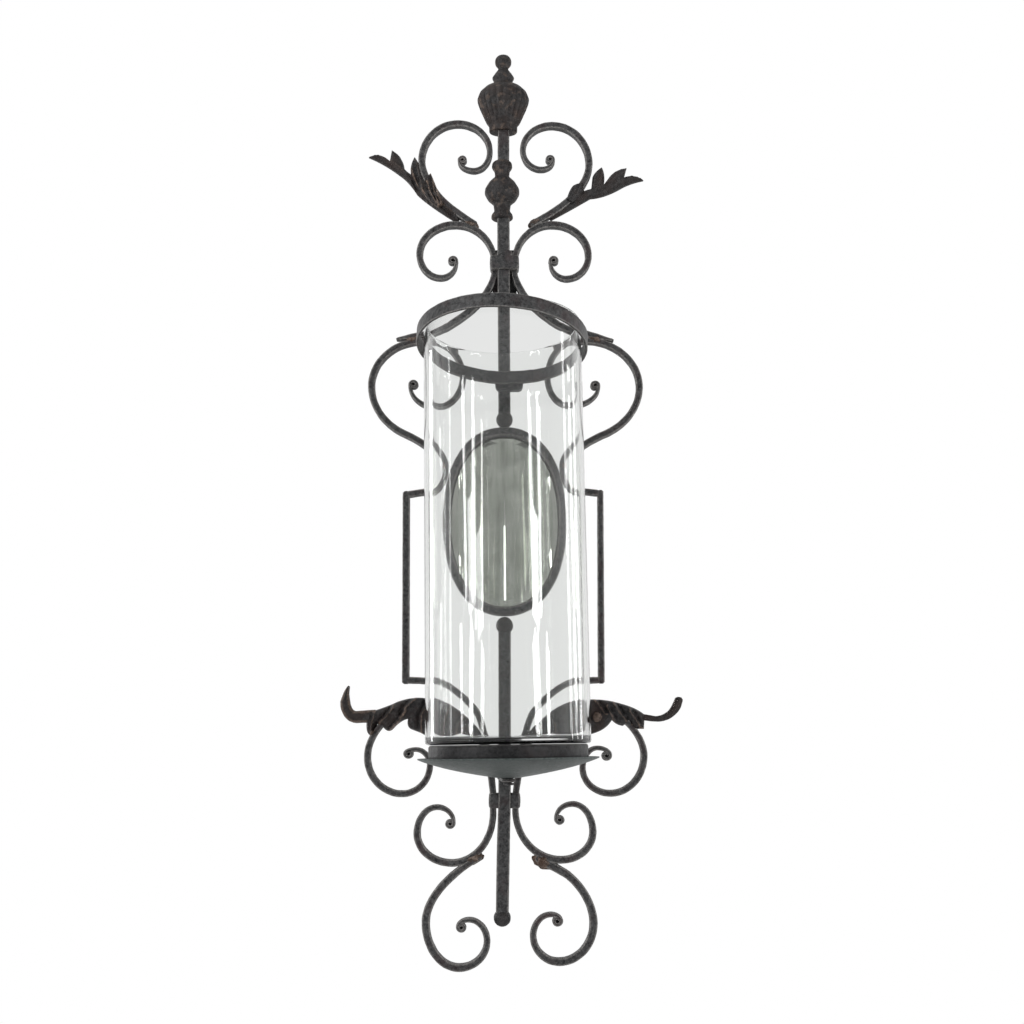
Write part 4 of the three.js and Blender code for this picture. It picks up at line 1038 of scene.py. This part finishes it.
under = curve((9, -30), (58, -23), (82.7, -12.9), 24)
over = curve((81.2, -12.1), (57, -21.2), (9, -28.2), 24)
PAN_PROFILE = [[3.3, -30], *under, [PAN_RADIUS, -12.5], [PAN_RADIUS, -11.9], [82.6, -11.6], [81.6, -11.6], *over,
               [3.3, -28.2]]
pan = shell("spun_drip_pan", on_stand(PAN_PROFILE, DISC_ROUND), PAN, closed=True, sharp=50)
set_rub(pan, np.repeat([0.55 if r > PAN_RADIUS - 1 else 0.0 for r, _ in PAN_PROFILE], DISC_ROUND))
dress(pan, "pan_sheet", "drip_pan")

DRUM_PROFILE = [[0, -4.7], [3.3, -4.7], [3.3, -27.9], [8, -27.9], [8, -2.6], [8.6, -2], [70.4, -2], [71, -2.6],
                [71, -13.6], [71.3, -13.8], [72.7, -13.8], [73, -13.4], [73, -10], [73, -6], [73, -2.2],
                [72.6, -1.0], [71.8, -0.3], [70.6, 0], [50, 0], [25, 0], [0, 0]]
drum = shell("turned_glass_drum", on_stand(DRUM_PROFILE, DISC_ROUND), DRUM, sharp=45)
drum_rub = [0.8 if r > 71.5 and z > -2 else 0.3 * (z < -13) for r, z in DRUM_PROFILE]
set_rub(drum, np.repeat(drum_rub, DISC_ROUND))
dress(drum, "forged_iron", "glass_drum")

SCREW_PROFILE = [[0, -36.3], [1.6, -36.4], [3.6, -36.5], [4.5, -36.2], [5, -35.5], [5, -34.7], [4.8, -34.45],
                 [3, -34.4]]
THREAD = [[2.6 + 0.4 * (k % 2), -34.1 + k * 0.6] for k in range(48)]
screw = shell("steel_pan_screw", on_stand(SCREW_PROFILE + THREAD + [[2, -5.1], [0, -5]], 32), FORGED, sharp=30)
set_rub(screw, 0.4)
dress(screw, "forged_iron", "pan_screw")

ARM = {"half": 6, "root_x": -1.1, "eye_x": 3.82, "eye_y": GLASS_Y, "back_y": BAR_FRONT - SEAT,
       "low": -541.8, "high": -538.6}
ARM_LAYERS = [(0, 0.9), (0.1, 0.3), (0.25, 0), (0.5, 0), (0.75, 0), (0.9, 0.3), (1, 0.9)]  # share up, mm inset
turns = np.linspace(math.pi, math.tau, 25)
plan = [(ARM["eye_x"] + ARM["half"] * math.cos(a), ARM["eye_y"] + ARM["half"] * math.sin(a)) for a in turns]
for side, shares in [(1, np.linspace(0.1, 1, 12)), (-1, np.linspace(1, 0.1, 12))]:
    for t in shares:
        x = ARM["eye_x"] + (ARM["root_x"] - ARM["eye_x"]) * t + side * ARM["half"]
        plan.append((x, ARM["eye_y"] + (ARM["back_y"] - ARM["eye_y"]) * t))
plan = np.array(plan)
middle_x = np.interp(plan[:, 1], [ARM["eye_y"], ARM["back_y"]], [ARM["eye_x"], ARM["root_x"]])
centre = np.column_stack([middle_x, np.maximum(plan[:, 1], ARM["eye_y"])])
rings, rub = [], []
for t, inset in ARM_LAYERS:
    away = plan - centre
    pulled = plan - inset * away / np.linalg.norm(away, axis=1)[:, None]
    z = ARM["low"] + (ARM["high"] - ARM["low"]) * t
    rings.append(np.column_stack([pulled, np.full(len(plan), z)]))
    rub.append(np.full(len(plan), 0.8 * (0 < t < 0.3 or 0.7 < t < 1)))
arm = shell("forged_pan_arm", rings, FORGED, sharp=50)
set_rub(arm, np.concatenate(rub))
dress(arm, "forged_iron", "pan_arm")
print("pan is", 2 * PAN_RADIUS, "mm across")

# %% [markdown]
# ## The hurricane glass
# The glass is one closed body with a base a little thicker than its wall, a rounded heel and a fire-polished
# rim. It lifts straight up out of the hoop to be washed or for the candle to be changed, so it rides its own
# body.

# %% Blow the glass
GLASS_RADIUS, GLASS_WALL, GLASS_TALL = 76, 3, 401.5
heel = [[72.4 + 3.6 * math.sin(a), 3.9 - 3.6 * math.cos(a)] for a in np.linspace(0, math.pi / 2, 10)]
walls_out = [[GLASS_RADIUS, z] for z in np.linspace(14, GLASS_TALL - 6, 30)]
rim = [[74.5 + 1.5 * math.cos(a), GLASS_TALL - 1.5 + 1.5 * math.sin(a)] for a in np.linspace(0, math.pi, 11)]
walls_in = [[GLASS_RADIUS - GLASS_WALL, z] for z in np.linspace(GLASS_TALL - 6, 12, 30)]
floor_in = [[70.2 + 2.8 * math.cos(a), 7.6 - 2.8 * math.sin(a)] for a in np.linspace(0, math.pi / 2, 8)]
profile = [[0, 0.7], [40, 0.5], *heel, *walls_out, *rim, *walls_in, *floor_in, [40, 4.9], [0, 5]]
glass = shell("blown_hurricane_glass", on_stand(profile, 180), GLASS, sharp=60)
dress(glass, "clear_glass", "hurricane_glass", body="glass")
print("glass is", 2 * GLASS_RADIUS, "mm across and", GLASS_TALL, "mm tall")

# %% [markdown]
# ## Hidden hardware
# The clips, the board, the folded hanger with its keyhole and the felt pad stay behind the frame. Their plain
# shapes already have every size they need, so they only get softened edges and their finish.

# %% Dress the hidden pieces
HIDDEN = {"mirror_clip_top": FORGED, "mirror_clip_bottom": FORGED, "mirror_clip_left": FORGED,
          "mirror_clip_right": FORGED, "mirror_backing": BOARD, "hanger_plate": FORGED, "wall_bumper": FELT}
for name, material in HIDDEN.items():
    piece = bpy.data.objects[name]
    piece.data.materials.clear()
    piece.data.materials.append(material)
    soften = piece.modifiers.new("softened_edges", "BEVEL")
    soften.width, soften.segments, soften.limit_method = 0.3 * MM, 2, "ANGLE"
print("hidden pieces:", len(HIDDEN))

# %% [markdown]
# ## Weld beads
# Where two bars only touch, a bead of weld joins them. It was left rough and browned by its own heat. Each bead
# is a small lumpy pad, thicker in the middle, pressed flat at the back.

# %% Lay the welds
WELDS = [  # name, place right and up, half length, half height, degrees turned
    ("crest_left", -36, 47, 9, 4, -20), ("crest_right", 33, 49, 8, 4.5, 25),
    ("drop_left", -30, -619, 10, 5, 20), ("drop_right", 38, -622, 11, 6.5, -25),
    ("tail_left", -97, -83.5, 9, 4.5, 10), ("tail_right", 96, -83.5, 9, 4.5, -12),
    ("oval_left", -67, -222, 3.4, 7, 0), ("oval_right", 66.4, -220, 3.4, 7, 0),
]
BEAD_OFF, BEAD_DEEP = 3.6, 5.2  # mm from the bars' backs to the bead's middle, and its reach from there
BEAD_BACK = FRAME_BACK - 0.9
LUMP, LUMP_SCALE = 0.22, 2.2


def weld(name, x, z, long, high, angle, seed):
    """A lumpy pad centred at x and z, long one way and high the other, turned by an angle in degrees."""
    rings = []
    turn = math.radians(angle)
    for a in np.linspace(0, math.pi, 17):
        ring = []
        for b in np.linspace(0, math.tau, 30, endpoint=False):
            u, v, w = math.cos(a), math.sin(a) * math.cos(b), math.sin(a) * math.sin(b)
            lump = 1 + LUMP * noise.noise(Vector((u * LUMP_SCALE + seed, v * LUMP_SCALE, w * LUMP_SCALE)))
            px, pz = long * u * lump, high * v * lump
            y = FRAME_BACK - BEAD_OFF + BEAD_DEEP * w * lump
            ring.append((x + px * math.cos(turn) - pz * math.sin(turn), y,
                         z + px * math.sin(turn) + pz * math.cos(turn)))
        rings.append(ring)
    rings = hammered(np.array(rings), 0.3, 2.2, seed)
    rings[:, :, 1] = np.minimum(rings[:, :, 1], BEAD_BACK)
    bead = shell("weld_" + name, rings, WELD)
    set_rub(bead, [0.5 + 0.5 * noise.noise(Vector(p) / 4) for p in rings.reshape(-1, 3)])
    dress(bead, "forged_iron")


for seed, place in enumerate(WELDS):
    weld(*place, seed=100 + seed)
print("welds:", len(WELDS))

# %% [markdown]
# ## Measure and finish
# The dressed sconce must fill the same box as the plain one, so both boxes are measured, in metres, and the
# largest gap between them is printed.

# %% Measure and finish
low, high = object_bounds()
sizes = {"cad": [list(cad_low), list(cad_high)], "visual": [list(low), list(high)]}
gaps = [abs(a - b) for a, b in zip([*low, *high], [*cad_low, *cad_high])]
print("size differs by", round(max(gaps) / MM, 2), "mm")
